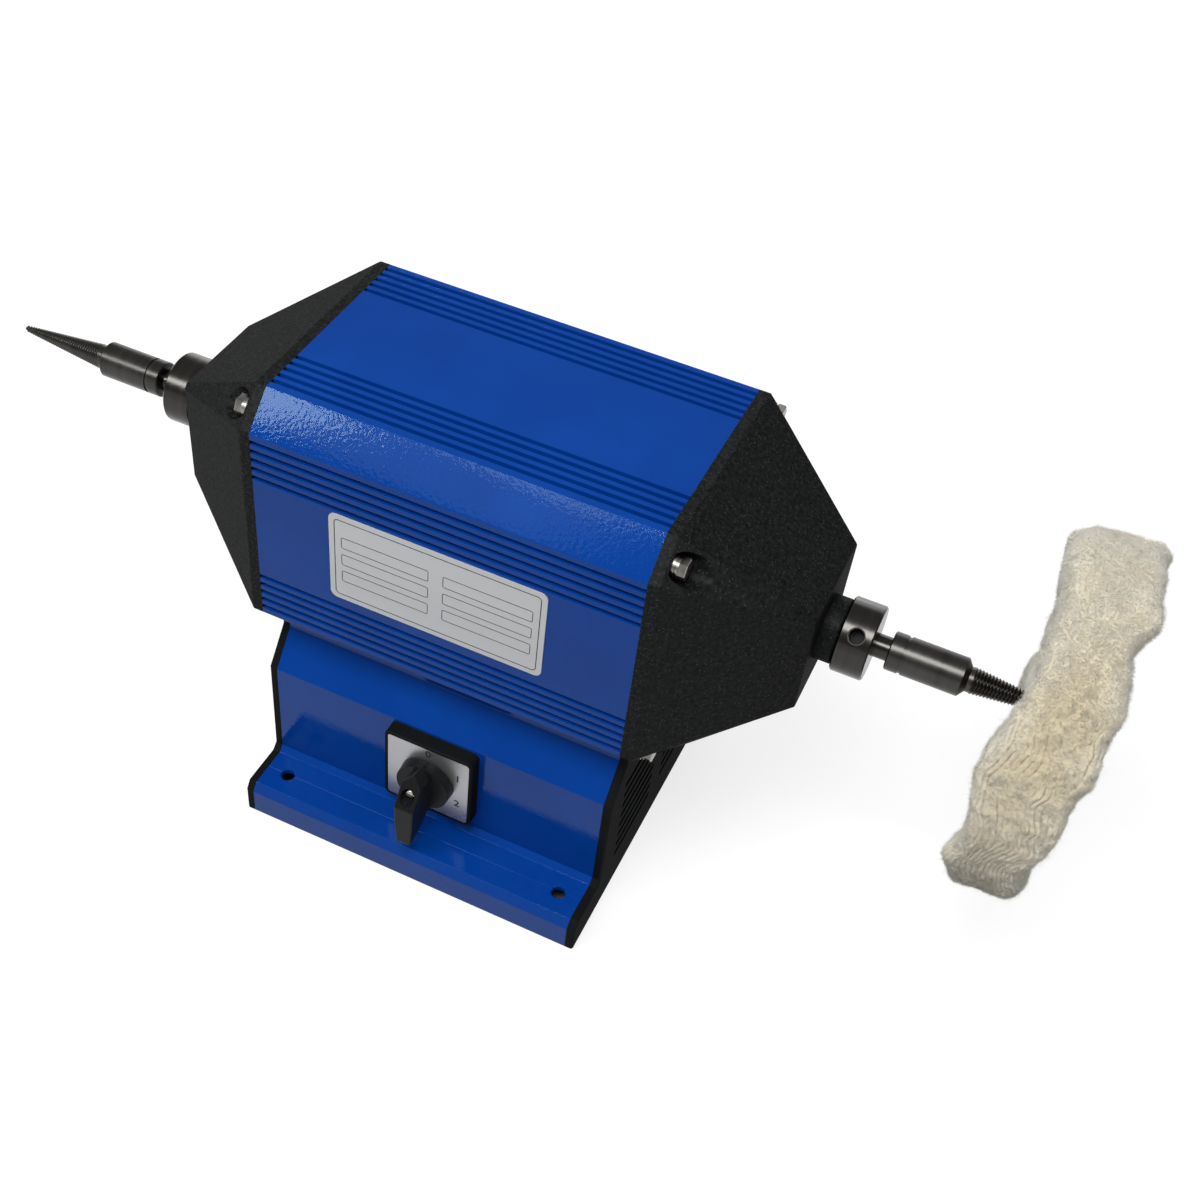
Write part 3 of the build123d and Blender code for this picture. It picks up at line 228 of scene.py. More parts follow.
def make_speckle():
    """Small scattered grains: each Voronoi cell has a random tone, cells whose tone is below Cover show, and
    a grain fades in from near its cell's edge to its middle."""
    group, given, out = effect_group(
        "speckle",
        [("Scale", "Float", 900.0), ("Cover", "Float", 0.1)],
        [("Mask", "Float")],
    )
    place = add(group, "TexCoord").outputs["Object"]
    cells = add(group, "TexVoronoi", {"Vector": place, "Scale": given["Scale"]})
    shows = add(group, "Math", {0: cells.outputs["Color"], 1: given["Cover"]}, operation="LESS_THAN")
    edge, middle = GRAIN_SIZE
    centre = add(group, "MapRange", {0: cells.outputs["Distance"], 1: edge, 2: middle}).outputs[0]
    mask = add(group, "Math", {0: shows.outputs[0], 1: centre}, operation="MULTIPLY").outputs[0]
    group.links.new(mask, out["Mask"])
    return group


def make_rolled_chamfer():
    """The slight crown of the housing's two upper chamfers: with s the distance across a chamfer from its
    middle, kept within its half width, the Height in millimetres is -s * s / (2 * crown radius)."""
    group, _, out = effect_group("rolled_chamfer", [], [("Height", "Float")])
    place = add(group, "SeparateXYZ", {0: add(group, "TexCoord").outputs["Object"]}).outputs
    beside = add(group, "Math", {0: place[1]}, operation="ABSOLUTE").outputs[0]
    above = add(group, "Math", {0: place[2], 1: AXIS_Z * MM}, operation="SUBTRACT").outputs[0]
    apart = add(group, "Math", {0: above, 1: beside}, operation="SUBTRACT").outputs[0]
    across = add(group, "Math", {0: apart, 1: math.sqrt(0.5) / MM}, operation="MULTIPLY").outputs[0]
    held = add(group, "Clamp", {0: across, 1: -CHAMFER_HALF, 2: CHAMFER_HALF}).outputs[0]
    square = add(group, "Math", {0: held, 1: held}, operation="MULTIPLY").outputs[0]
    height = add(group, "Math", {0: square, 1: -0.5 / CHAMFER_CROWN}, operation="MULTIPLY").outputs[0]
    group.links.new(height, out["Height"])
    return group


surface_grain = make_surface_grain()
speckle = make_speckle()
rolled_chamfer = make_rolled_chamfer()


# Finishes of the machine, by material slot

TONE_LOW = 0.3
TONE_HIGH = 0.7
TURNED = (1.0, 0.03, 0.03)
LAMINATED = (1.0, 0.01, 0.01)
BRUSHED = (0.05, 1, 1)
WOUND = (0.1, 1, 1)


def new_material(name):
    """A new material; gives it with its node tree and its shader."""
    material = bpy.data.materials.new(name)
    material.use_nodes = True
    return material, material.node_tree, material.node_tree.nodes["Principled BSDF"]


def mix_colour(tree, share, low, high):
    """A colour between two others, of which low may be a link."""
    start = low if isinstance(low, bpy.types.NodeSocket) else (*low, 1)
    return add(tree, "Mix", {0: share, 6: start, 7: (*high, 1)}, data_type="RGBA").outputs[2]


def finish(name, low, high, rough, metallic=0.0, grain=600.0, stretch=(1, 1, 1), tone=20.0, bump=0.1,
           depth=0.1, specular=0.5, tint=(1, 1, 1), specks=None, coat=None, rolled=None):
    """A procedural finish: colour from low to high and roughness between two values follow the slow tone,
    bump follows the fine height, specks add lighter grains as (scale, cover, colour), which are dust on
    the blue coat and painted glints on the black casting, a coat is given by weight and roughness, and
    rolled is a group whose height is added to the bump."""
    material, tree, shader = new_material(name)
    shader.inputs["Metallic"].default_value = metallic
    shader.inputs["Specular IOR Level"].default_value = specular
    shader.inputs["Specular Tint"].default_value = (*tint, 1)
    if coat:
        shader.inputs["Coat Weight"].default_value = coat[0]
        shader.inputs["Coat Roughness"].default_value = coat[1]
    skin = add(tree, "Group", node_tree=surface_grain)
    skin.inputs["Scale"].default_value = grain
    skin.inputs["Stretch"].default_value = stretch
    skin.inputs["Tone Scale"].default_value = tone
    slow = {0: skin.outputs["Tone"], 1: TONE_LOW, 2: TONE_HIGH}
    colour = mix_colour(tree, add(tree, "MapRange", slow).outputs[0], low, high)
    height = skin.outputs["Height"]
    if specks:
        scale, cover, light = specks
        grains = add(tree, "Group", node_tree=speckle)
        grains.inputs["Scale"].default_value = scale
        grains.inputs["Cover"].default_value = cover
        colour = mix_colour(tree, grains.outputs["Mask"], colour, light)
        height = add(tree, "Math", {0: height, 1: grains.outputs["Mask"]}, operation="ADD").outputs[0]
    tree.links.new(colour, shader.inputs["Base Color"])
    gloss = add(tree, "MapRange", {**slow, 3: rough[0], 4: rough[1]}).outputs[0]
    tree.links.new(gloss, shader.inputs["Roughness"])
    relief = add(tree, "Bump", {"Strength": bump, "Distance": depth * MM, "Height": height}).outputs[0]
    if rolled:
        broad = add(tree, "Group", node_tree=rolled).outputs["Height"]
        crown = {"Strength": 1.0, "Distance": MM, "Height": broad, "Normal": relief}
        relief = add(tree, "Bump", crown).outputs[0]
    tree.links.new(relief, shader.inputs["Normal"])
    return material


finishes = {
    "blue_coat": finish(
        "blue_powder_coat", (0.0010, 0.038, 0.245), (0.0016, 0.046, 0.285), (0.045, 0.07),
        grain=480.0, bump=1.0, depth=0.084, specular=0.15, tint=(0.66, 0.91, 1.0),
        specks=(230.0, 0.004, (0.10, 0.16, 0.38)), rolled=rolled_chamfer),
    # The black casting's lighter specks are painted glints of its pebbled paint.
    "black_casting": finish(
        "black_wrinkle_paint", (0.0030, 0.0033, 0.0036), (0.0150, 0.0160, 0.0163), (0.62, 0.74),
        grain=700.0, tone=500.0, bump=1.0, depth=0.5, specular=0.0, coat=(0.145, 0.45),
        specks=(700.0, 0.32, (0.044, 0.0485, 0.048))),
    "black_plastic": finish(
        "black_moulded_plastic", (0.0062, 0.0065, 0.0070), (0.0095, 0.0100, 0.0108), (0.70, 0.80),
        grain=1500.0, bump=0.25, depth=0.08, specular=0.0, coat=(0.08, 0.45)),
    "silver_plate": finish(
        "satin_silver_print", (0.50, 0.51, 0.525), (0.55, 0.56, 0.575), (0.40, 0.46),
        metallic=0.15, grain=900.0, stretch=BRUSHED, bump=0.06, depth=0.04, specular=0.3),
    "dark_steel": finish(
        "turned_dark_steel", (0.042, 0.040, 0.037), (0.056, 0.053, 0.050), (0.20, 0.26),
        metallic=1.0, grain=2400.0, stretch=TURNED, tone=260.0, bump=0.10, depth=0.03),
    "bearing_steel": finish(
        "ground_bearing_steel", (0.55, 0.55, 0.56), (0.63, 0.63, 0.64), (0.12, 0.2),
        metallic=1.0, grain=1500.0, stretch=TURNED, tone=200.0, bump=0.05, depth=0.03),
    "zinc_steel": finish(
        "zinc_plated_steel", (0.46, 0.44, 0.41), (0.60, 0.58, 0.54), (0.22, 0.34),
        metallic=1.0, grain=900.0, tone=150.0, bump=0.1, depth=0.05),
    "core_steel": finish(
        "stacked_core_steel", (0.10, 0.105, 0.115), (0.20, 0.205, 0.22), (0.4, 0.55),
        metallic=1.0, grain=2000.0, stretch=LAMINATED, tone=900.0, bump=0.4, depth=0.1),
    "copper_wire": finish(
        "varnished_copper", (0.30, 0.085, 0.025), (0.48, 0.16, 0.05), (0.25, 0.4),
        metallic=0.8, grain=1200.0, stretch=WOUND, tone=700.0, bump=0.5, depth=0.2),
    "cast_aluminium": finish(
        "die_cast_aluminium", (0.50, 0.50, 0.51), (0.60, 0.60, 0.61), (0.35, 0.48),
        metallic=1.0, grain=700.0, tone=60.0, bump=0.2, depth=0.1),
    "brass": finish(
        "bright_brass", (0.58, 0.40, 0.14), (0.68, 0.50, 0.20), (0.22, 0.32),
        metallic=1.0, grain=900.0, tone=150.0, bump=0.1, depth=0.05),
    "hub_fibre": finish(
        "pressed_fibre", (0.20, 0.095, 0.040), (0.29, 0.145, 0.062), (0.6, 0.75),
        grain=1400.0, tone=120.0, bump=0.4, depth=0.15),
    "inner_plastic": finish(
        "pale_moulded_plastic", (0.50, 0.49, 0.45), (0.57, 0.56, 0.52), (0.4, 0.5),
        grain=1500.0, bump=0.15, depth=0.06),
    "capacitor_case": finish(
        "white_capacitor_case", (0.64, 0.64, 0.62), (0.70, 0.70, 0.68), (0.2, 0.3),
        grain=800.0, bump=0.08, depth=0.05),
    "lead_sleeve": finish(
        "rubber_sleeve", (0.020, 0.020, 0.021), (0.030, 0.030, 0.031), (0.55, 0.7),
        grain=1500.0, bump=0.25, depth=0.08),
}
dark_ink = finish(
    "dark_print", (0.018, 0.018, 0.020), (0.026, 0.026, 0.028), (0.45, 0.55),
    grain=1500.0, bump=0.1, depth=0.02, specular=0.3)
# Black oxide on the set screws; on the threads in the collars' holes the same dark finish is painted shade.
oxide_and_hole_shade = finish(
    "black_oxide_and_hole_shade", (0.010, 0.010, 0.011), (0.018, 0.018, 0.018), (0.35, 0.45),
    metallic=1.0, grain=1500.0, bump=0.1, depth=0.05)
knob_gloss = finish(
    "satin_black_knob", (0.0070, 0.0073, 0.0080), (0.0105, 0.0110, 0.0120), (0.30, 0.38),
    grain=1500.0, bump=0.2, depth=0.06, specular=0.09)
dial_metal = finish(
    "brushed_dial_metal", (0.36, 0.364, 0.375), (0.41, 0.414, 0.425), (0.24, 0.32),
    metallic=0.85, grain=900.0, stretch=BRUSHED, bump=0.06, depth=0.03)
bolt_steel = finish(
    "dull_zinc_steel", (0.20, 0.19, 0.175), (0.32, 0.31, 0.285), (0.24, 0.36),
    metallic=1.0, grain=900.0, tone=150.0, bump=0.1, depth=0.05)
spindle_steel = finish(
    "threaded_dark_steel", (0.051, 0.049, 0.046), (0.070, 0.067, 0.063), (0.28, 0.34),
    metallic=1.0, grain=2400.0, stretch=TURNED, tone=260.0, bump=0.10, depth=0.03)
special_finishes = {
    "bell_bolts": bolt_steel,
    "bolt_washers": bolt_steel,
    "spring_washers": bolt_steel,
    "collar_set_screws": oxide_and_hole_shade,
    "spindle_set_screws": oxide_and_hole_shade,
    "switch_knob": knob_gloss,
    "dial_plate": dial_metal,
}

COTTON_SHADING = {
    "Roughness": 0.95,
    "Specular IOR Level": 0.1,
    "Sheen Weight": 0.5,
    "Sheen Roughness": 0.6,
    "Subsurface Weight": 0.25,
    "Subsurface Radius": (1.0, 0.8, 0.5),
    "Subsurface Scale": 1.2 * MM,
}
# Brown painted into the cloth's creases: painted shade.
CREASE_SHADE_BROWN = (0.40, 0.28, 0.11)
WEAVE_SCALE = 1300.0
WEAVE_BUMP = 0.4
WEAVE_DEPTH = 0.3
MOTTLE_SCALE = 55.0
MOTTLE_TONES = (0.32, 0.66)
MOTTLE_SHIFT = 0.2


def mop_cloth(name, worn, clean):
    """Unbleached cotton, fine and soft: a clean cream and a worn one, mixed by the worn attribute and a slow
    mottle, and brown where the crease attribute is deep, as painted shade in the creases."""
    material, tree, shader = new_material(name)
    for socket, value in COTTON_SHADING.items():
        shader.inputs[socket].default_value = value
    skin = add(tree, "Group", node_tree=surface_grain)
    skin.inputs["Scale"].default_value = WEAVE_SCALE
    skin.inputs["Tone Scale"].default_value = MOTTLE_SCALE
    wear = add(tree, "Attribute", attribute_name="worn").outputs["Fac"]
    low, high = MOTTLE_TONES
    slow = {0: skin.outputs["Tone"], 1: low, 2: high, 3: -MOTTLE_SHIFT, 4: MOTTLE_SHIFT}
    mottle = add(tree, "MapRange", slow).outputs[0]
    mixed = add(tree, "Math", {0: wear, 1: mottle}, operation="ADD", use_clamp=True).outputs[0]
    pale = mix_colour(tree, mixed, clean, worn)
    crease = add(tree, "Attribute", attribute_name="crease").outputs["Fac"]
    tree.links.new(mix_colour(tree, crease, pale, CREASE_SHADE_BROWN), shader.inputs["Base Color"])
    weave = {"Strength": WEAVE_BUMP, "Distance": WEAVE_DEPTH * MM, "Height": skin.outputs["Height"]}
    tree.links.new(add(tree, "Bump", weave).outputs[0], shader.inputs["Normal"])
    return material


finishes["mop_cotton"] = mop_cloth("unbleached_cotton", (0.62, 0.545, 0.385), (0.71, 0.67, 0.56))
# The lint's creams are lighter than the cloth's: painted light that offsets the shade between the hairs.
lint_cotton = mop_cloth("cotton_lint", (0.67, 0.595, 0.435), (0.76, 0.72, 0.61))

for part in frame["record"]["subparts"]:
    for held in nodes[part["node"]].material_slots:
        held.material = special_finishes.get(part["node"], finishes[part["material_slot"]])


# Polishing mop: a ring of cloth layers, lobed at the rim

mop_low, mop_high = box_mm("polishing_mop")
MOP_MIDDLE = (mop_low[0] + mop_high[0]) / 2
MOP_FLUFF = 2.2
MOP_RADIUS = (mop_high[2] - mop_low[2]) / 2 - MOP_FLUFF
MOP_HALF_WIDTH = 21.0
MOP_HUB_HALF = 10.0
MOP_HUB_RADIUS = 28.0
MOP_CORNER = 8.0
MOP_BORE = 4.6
NEAR_REACH = -19.0
FAR_REACH = 22.5

# The section's rows: across the hub, up a face from its start, over a corner and along the rim, and the share
# of the half width that a corner and the rim's half take
HUB_ROWS = 6
FACE_ROWS = 30
FACE_START = 31.0
CORNER_ROWS = 20
RIM_ROWS = 64
CORNER_SHARE = 0.32
RIM_SHARE = 0.68

# Radii between which each form sets in
SPREAD_ZONE = (28.0, 90.0)
FLARE_ZONE = (66.0, 88.0)
RIM_ZONE = (78.0, 90.0)
FURRY_ZONE = (52.0, 84.0)
PLEAT_ZONE = (30.0, 60.0)
LOOSE_ZONE = (24.0, 34.0)
LINT_ZONE = (58.0, 84.0)

# Lobes of the rim's edges: angle up from the front, push along the shaft in millimetres, spread in degrees
NEAR_LOBES = [(20, -6.0, 10), (52, 4.2, 8), (74, 3.0, 9), (98, -1.8, 6), (128, 3.0, 8), (146, -3.5, 8),
              (164, 2.0, 6), (176, 8.0, 8), (188, 1.5, 7), (201, 7.5, 5), (215, 1.0, 6), (230, 5.0, 7),
              (250, -2.0, 8), (268, 3.5, 8), (284, 1.5, 8), (300, 3.0, 7), (316, 1.5, 8), (338, -6.0, 5)]
FAR_LOBES = [(4, -2.5, 3), (17, -3.0, 5), (31, 2.8, 5), (40, -1.4, 4), (47, 3.0, 6), (69, -3.4, 6),
             (80, 4.4, 5), (100, 1.6, 6), (112, -2.0, 9), (135, 2.0, 9), (155, -3.0, 8), (175, 3.0, 8),
             (195, -2.5, 8), (215, 3.0, 8), (236, -3.0, 9), (255, 3.0, 8), (275, -2.5, 8), (290, -3.0, 10),
             (322, -7.5, 13), (348, -8.5, 8)]
# The same for the rim's radius, and how a swell grows from the far edge to the near one
RIM_SWELLS = [(130, -2.6, 22), (60, 0.5, 15), (215, -1.5, 20), (316, 1.8, 16)]
SWELL_MIDDLE = 0.75
SWELL_LEAN = 0.35

# Zones round the rim where layers part, lie pressed and are worn: angle, strength, spread
OPEN_ZONES = [(34, 0.9, 9), (16, 0.7, 10), (84, 0.35, 10), (140, 0.7, 20), (250, 0.8, 18)]
PRESSED_ZONES = [(346, 0.9, 18), (190, 0.8, 24)]
WORN_ZONES = [(32, 0.75, 32), (165, 0.5, 35), (260, 0.6, 35)]

# Noises over the skin: seed, cells round the turn, cells along the section
WANDER = (3, 26, 8)
FINE_WANDER = (4, 90, 26)
STREAKS = (5, 40, 84)
LUMPS = (7, 26, 8)
PUFFS = (8, 78, 30)
FLUFF = (9, 330, 120)
PLEATS = (10, 44, 3)
SMALL_PUFFS = (12, 170, 66)
NAP_ONWARD = (31, 90, 34)
NAP_SIDEWAYS = (32, 90, 34)

# Cloth layers and relief: wanders are in layers, heights and depths in millimetres
LAYER_PITCH = 2.8
WANDER_LAYERS = 1.3
FINE_WANDER_LAYERS = 0.55
STREAK_RANGE = (0.25, 0.7)
STREAK_SHIFT = 0.1
STREAK_GAIN = 0.35
LAYERS_EVERYWHERE = 0.1
PARTED_POWER = 5
PRESSED_POWER = 2
THIN_TORN = 0.5
THIN_OPEN = 0.2
THIN_PRESSED = 0.5
THINNEST = 0.6
PLEAT_HEIGHT = 1.5
LUMP_HEIGHT = 0.9
PUFF_HEIGHT = 0.55
SMALL_PUFF_HEIGHT = 0.52
FLUFF_HEIGHT = 0.32
PARTED_DEPTH = 1.9
PRESSED_DEPTH = 0.9
PRESSED_CREASE = 0.25
WORN_EVERYWHERE = 0.2
WORN_EDGE_LOSS = 0.75


def bell_sum(bells, turn):
    """The sum of bell curves round the turn, each by angle, height and spread, measured the short way."""
    angle, height, spread = np.array(bells, float).T
    apart = (turn[..., None] * 360 - angle + 180) % 360 - 180
    return (height * np.exp(-0.5 * (apart / spread) ** 2)).sum(-1)


def mop_section():
    """The section's loop as (across, radius): across is -1 on the near face and 1 on the far one. It climbs
    the near face, turns a quarter ellipse over each rim corner, crosses the rim and comes down the far
    face."""
    corner_start = MOP_RADIUS - MOP_CORNER
    hub = np.linspace(MOP_BORE, MOP_HUB_RADIUS, HUB_ROWS)
    face = np.concatenate([hub, np.linspace(FACE_START, corner_start, FACE_ROWS)])
    climb = np.stack([np.full(face.shape, -1.0), face], -1)
    corner = np.linspace(0.0, np.pi / 2, CORNER_ROWS + 1)[1:]
    corner_across = -1 + CORNER_SHARE * (1 - np.cos(corner))
    near = np.stack([corner_across, corner_start + MOP_CORNER * np.sin(corner)], -1)
    rim_across = np.linspace(-RIM_SHARE, RIM_SHARE, RIM_ROWS + 2)[1:-1]
    rim = np.stack([rim_across, np.full(RIM_ROWS, MOP_RADIUS)], -1)
    far = near[::-1] * (-1, 1)
    fall = climb[::-1] * (-1, 1)
    return np.concatenate([climb, near, rim, far, fall])


def mop_form(across, radius, turn):
    """The mop's broad form: each face runs from the hub out to its edge with an eased blend, its lobes
    flare near the rim, and the rim swells. Gives each point's place along the shaft and its radius."""
    spread = smoothstep(*SPREAD_ZONE, radius)
    flare = smoothstep(*FLARE_ZONE, radius)
    radius = radius + spread * bell_sum(RIM_SWELLS, turn) * (SWELL_MIDDLE - SWELL_LEAN * across)
    near_lobe = bell_sum(NEAR_LOBES, turn)
    far_lobe = bell_sum(FAR_LOBES, turn)
    near = -MOP_HUB_HALF + spread * (NEAR_REACH + MOP_HUB_HALF)
    near = near + near_lobe * np.where(near_lobe < 0, flare, spread)
    far = MOP_HUB_HALF + spread * (FAR_REACH - MOP_HUB_HALF)
    far = far + far_lobe * np.where(far_lobe > 0, flare, spread)
    return MOP_MIDDLE + (near + far) / 2 + across * (far - near) / 2, radius


def cloth_layers(length, along, turn, rim):
    """The edges of the cloth layers, a folded wave across the rim. It is narrow and deep where a layer parts
    from the next, in short streaks inside the open zones, and broad and shallow where layers lie pressed.
    Gives how far layers part, how far they are pressed, and how thin that leaves the fluff."""
    wander = WANDER_LAYERS * soft_noise(*WANDER, turn, along)
    wander = wander + FINE_WANDER_LAYERS * soft_noise(*FINE_WANDER, turn, along)
    fold = 1 - np.abs(np.sin(np.pi * (length / LAYER_PITCH + wander)))
    open_zone = bell_sum(OPEN_ZONES, turn)
    pressed_zone = bell_sum(PRESSED_ZONES, turn)
    streak = soft_noise(*STREAKS, turn, along) + STREAK_GAIN * open_zone - STREAK_SHIFT
    torn = rim * smoothstep(*STREAK_RANGE, streak) * (LAYERS_EVERYWHERE + open_zone)
    parted = torn * fold ** PARTED_POWER
    pressed = rim * (LAYERS_EVERYWHERE + pressed_zone) * fold ** PRESSED_POWER
    thin = THIN_TORN * torn + THIN_OPEN * open_zone * rim + THIN_PRESSED * pressed_zone
    return parted, pressed, np.clip(thin, 0.0, THINNEST)


def mop_surface(columns=1300):
    """The mop as a grid of section rows and turn columns: its form, pushed along its normal by pleats that
    fan out from the hub, by lumps, puffs and fluff, which are noises of falling size, and by the edges of
    the cloth layers. Gives points, normals, crease, wear, each point's turn and share of the section, and
    how thin its fluff is."""
    section = mop_section()
    across = section[:, :1]
    turn = (np.arange(columns) / columns)[None, :]
    x, radius = mop_form(across, np.broadcast_to(section[:, 1:], (len(section), columns)), turn)
    steps = np.hypot(np.diff(section[:, 0]) * MOP_HALF_WIDTH, np.diff(section[:, 1]))
    length = np.broadcast_to(np.concatenate([[0.0], np.cumsum(steps)])[:, None], radius.shape)
    along = length / steps.sum()
    turn = np.broadcast_to(turn, radius.shape)
    rim = smoothstep(*RIM_ZONE, radius)
    furry = smoothstep(*FURRY_ZONE, radius)
    parted, pressed, thin = cloth_layers(length, along, turn, rim)
    pleats = PLEAT_HEIGHT * soft_noise(*PLEATS, turn, along) * smoothstep(*PLEAT_ZONE, radius) * (1 - rim)
    lumps = LUMP_HEIGHT * rim * soft_noise(*LUMPS, turn, along)
    puffs = PUFF_HEIGHT * soft_noise(*PUFFS, turn, along)
    puffs = puffs + SMALL_PUFF_HEIGHT * soft_noise(*SMALL_PUFFS, turn, along)
    fluff = FLUFF_HEIGHT * soft_noise(*FLUFF, turn, along)
    push = pleats + lumps + (puffs + fluff) * furry - PARTED_DEPTH * parted - PRESSED_DEPTH * pressed
    push = push * smoothstep(*LOOSE_ZONE, radius)
    slope_x = np.gradient(x, axis=0)
    slope_r = np.gradient(radius, axis=0)
    slope = np.hypot(slope_x, slope_r)
    x = x - push * slope_r / slope
    radius = radius + push * slope_x / slope
    points = round_shaft(x, radius, FULL_TURN * turn)
    down = np.gradient(points, axis=0)
    aside = np.roll(points, -1, axis=1) - np.roll(points, 1, axis=1)
    crease = np.clip(parted + PRESSED_CREASE * pressed, 0.0, 1.0)
    worn = furry * (WORN_EVERYWHERE + bell_sum(WORN_ZONES, turn)) * (1 - WORN_EDGE_LOSS * across ** 2)
    return points, unit(np.cross(down, aside)), crease, worn, turn, along, thin


skin_points, skin_normals, skin_crease, skin_worn, skin_turn, skin_along, skin_thin = mop_surface()
skin_faces = ring_faces(*skin_points.shape[:2], True)[:, ::-1]
mop = as_piece("mop_cloth", skin_points, skin_faces, finishes["mop_cotton"], "mop_cotton", "rotor")
set_values(mop, "crease", skin_crease)
set_values(mop, "worn", skin_worn)
skin_row, skin_column = np.mgrid[: skin_points.shape[0], : skin_points.shape[1]].astype(float)
skin_corners = ((0, 1), (1, 1), (1, 0), (0, 0))
skin_spots = [np.stack([skin_column + over, skin_row + up], -1) for over, up in skin_corners]
bake_map(mop, np.stack(skin_spots, 2) / skin_points.shape[1::-1])
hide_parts("polishing_mop")

# Fluff on the mop: short hairs in four lots, and longer fibres. Widths and lengths are in millimetres
LINT_SEED = 20
LINT_LOTS = (1, 2, 3, 4)
FACE_LINT = 0.03
CREASE_POWER = 4
ROOT_SCATTER = 0.25
HAIR_FACES = ((0, 2, 1), (0, 1, 3), (1, 2, 3), (2, 0, 3))
HAIR_SPOTS = np.array([(0.0, 0.0), (1.0, 0.0), (0.5, 0.4), (0.5, 1.0)])
HAIR_LEAN = 1.2
HAIR_STRAY = 0.6
HAIR_WIDTH = (0.09, 0.15)
HAIR_LENGTH = (1.8, 3.2)
HAIR_ROOT = 0.4
FIBRE_SEED = 25
FIBRE_LENGTH = (3.0, 8.0)
FIBRE_RISE = (0.5, 1.6)
FIBRE_CURL = 0.35
FIBRE_ROOT = 0.3
FIBRE_RINGS = 5
FIBRE_TIP = 0.01
FIBRE_TAPER = 0.05
FIBRE_DROOP = 0.75


def rim_places(count, seed):
    """Random places on the mop's skin, even over its area, more often near the rim and seldom in a crease.
    Gives the random source, the points, their normals, their wear, the way the nap lies there and how thin
    the fluff is. The nap is a tangent whose two parts are noises over the skin."""
    random = np.random.default_rng(seed)
    reach = np.hypot(skin_points[..., 1], skin_points[..., 2] - AXIS_Z)
    area = reach * np.linalg.norm(np.gradient(skin_points, axis=0), axis=-1)
    weight = (area * (smoothstep(*LINT_ZONE, reach) + FACE_LINT) * (1 - skin_crease) ** CREASE_POWER).ravel()
    picked = random.choice(len(weight), count, p=weight / weight.sum())
    turn = skin_turn.ravel()[picked]
    along = skin_along.ravel()[picked]
    out = skin_normals.reshape(-1, 3)[picked]
    angle = FULL_TURN * turn
    onward = np.stack([np.zeros(count), np.sin(angle), np.cos(angle)], -1)
    sideways = np.cross(out, onward)
    nap = soft_noise(*NAP_ONWARD, turn, along)[:, None] * onward
    nap = nap + soft_noise(*NAP_SIDEWAYS, turn, along)[:, None] * sideways
    spots = skin_points.reshape(-1, 3)[picked] + random.normal(0.0, ROOT_SCATTER, (count, 3))
    return random, spots, out, skin_worn.ravel()[picked], nap, skin_thin.ravel()[picked, None]


def three_round(centre, thick, side, other):
    """Three points evenly round each centre, at a distance, in the plane of two directions."""
    return [centre + thick * (np.cos(angle) * side + np.sin(angle) * other) for angle in THIRDS]


def lint(seed, count=49000):
    """Short fluff: each hair is a thin three-sided spike, its foot just under the skin, its tip out along the
    normal, leaning with the nap and at random. Gives points, faces, map corners and wear."""
    random, foot, out, worn, nap, thin = rim_places(count, seed)
    stray = unit(random.normal(0.0, 1.0, (count, 3)))
    way = unit(out + HAIR_LEAN * nap + HAIR_STRAY * stray)
    side = unit(np.cross(way, random.normal(0.0, 1.0, (count, 3))))
    other = np.cross(way, side)
    width = random.uniform(*HAIR_WIDTH, (count, 1))
    length = random.uniform(*HAIR_LENGTH, (count, 1)) * (1 - thin)
    foot = foot - HAIR_ROOT * out
    spikes = np.stack([*three_round(foot, width, side, other), foot + way * length], 1)
    faces = (4 * np.arange(count)[:, None, None] + np.array(HAIR_FACES)).reshape(-1, 3)
    return spikes, faces, own_cells(count, HAIR_SPOTS[np.array(HAIR_FACES)]), np.repeat(worn, 4)


def fibres(count=7500):
    """Longer loose fibres: each is a thin three-sided tube along an arc that leaves the skin, bends over and
    comes back towards it, tapering to a point. The arc is foot + along * way + a parabola of rise * normal,
    with a sideways curl. Gives points, faces, map corners and wear."""
    random, foot, out, worn = rim_places(count, FIBRE_SEED)[:4]
    way = unit(np.cross(out, unit(random.normal(0.0, 1.0, (count, 3)))))
    bend = np.cross(out, way)
    length = random.uniform(*FIBRE_LENGTH, (count, 1))
    rise = random.uniform(*FIBRE_RISE, (count, 1))
    curl = random.normal(0.0, FIBRE_CURL, (count, 1))
    rings = []
    for share in np.linspace(0.0, 1.0, FIBRE_RINGS):
        arch = 4 * share * (1 - FIBRE_DROOP * share) * rise * out
        centre = foot - FIBRE_ROOT * out + share * length * way + arch
        centre = centre + curl * length * share * share * bend
        rings.append(three_round(centre, FIBRE_TAPER * (1 - share) + FIBRE_TIP, out, bend))
    tubes = np.array(rings).transpose(2, 0, 1, 3)
    cells = [(3 * ring, side, (side + 1) % 3) for ring in range(FIBRE_RINGS - 1) for side in range(3)]
    walls = [(low + side, low + onward, low + 3 + onward) for low, side, onward in cells]
    walls += [(low + side, low + 3 + onward, low + 3 + side) for low, side, onward in cells]
    points = 3 * FIBRE_RINGS
    faces = np.array(walls + [(2, 1, 0), (points - 3, points - 2, points - 1)])
    ring_share = np.repeat(np.arange(FIBRE_RINGS), 3) / (FIBRE_RINGS - 1)
    spots = np.stack([ring_share, np.tile(np.arange(3), FIBRE_RINGS) / 2], -1)
    every = (points * np.arange(count)[:, None, None] + faces).reshape(-1, 3)
    return tubes, every, own_cells(count, spots[faces]), np.repeat(worn, points)


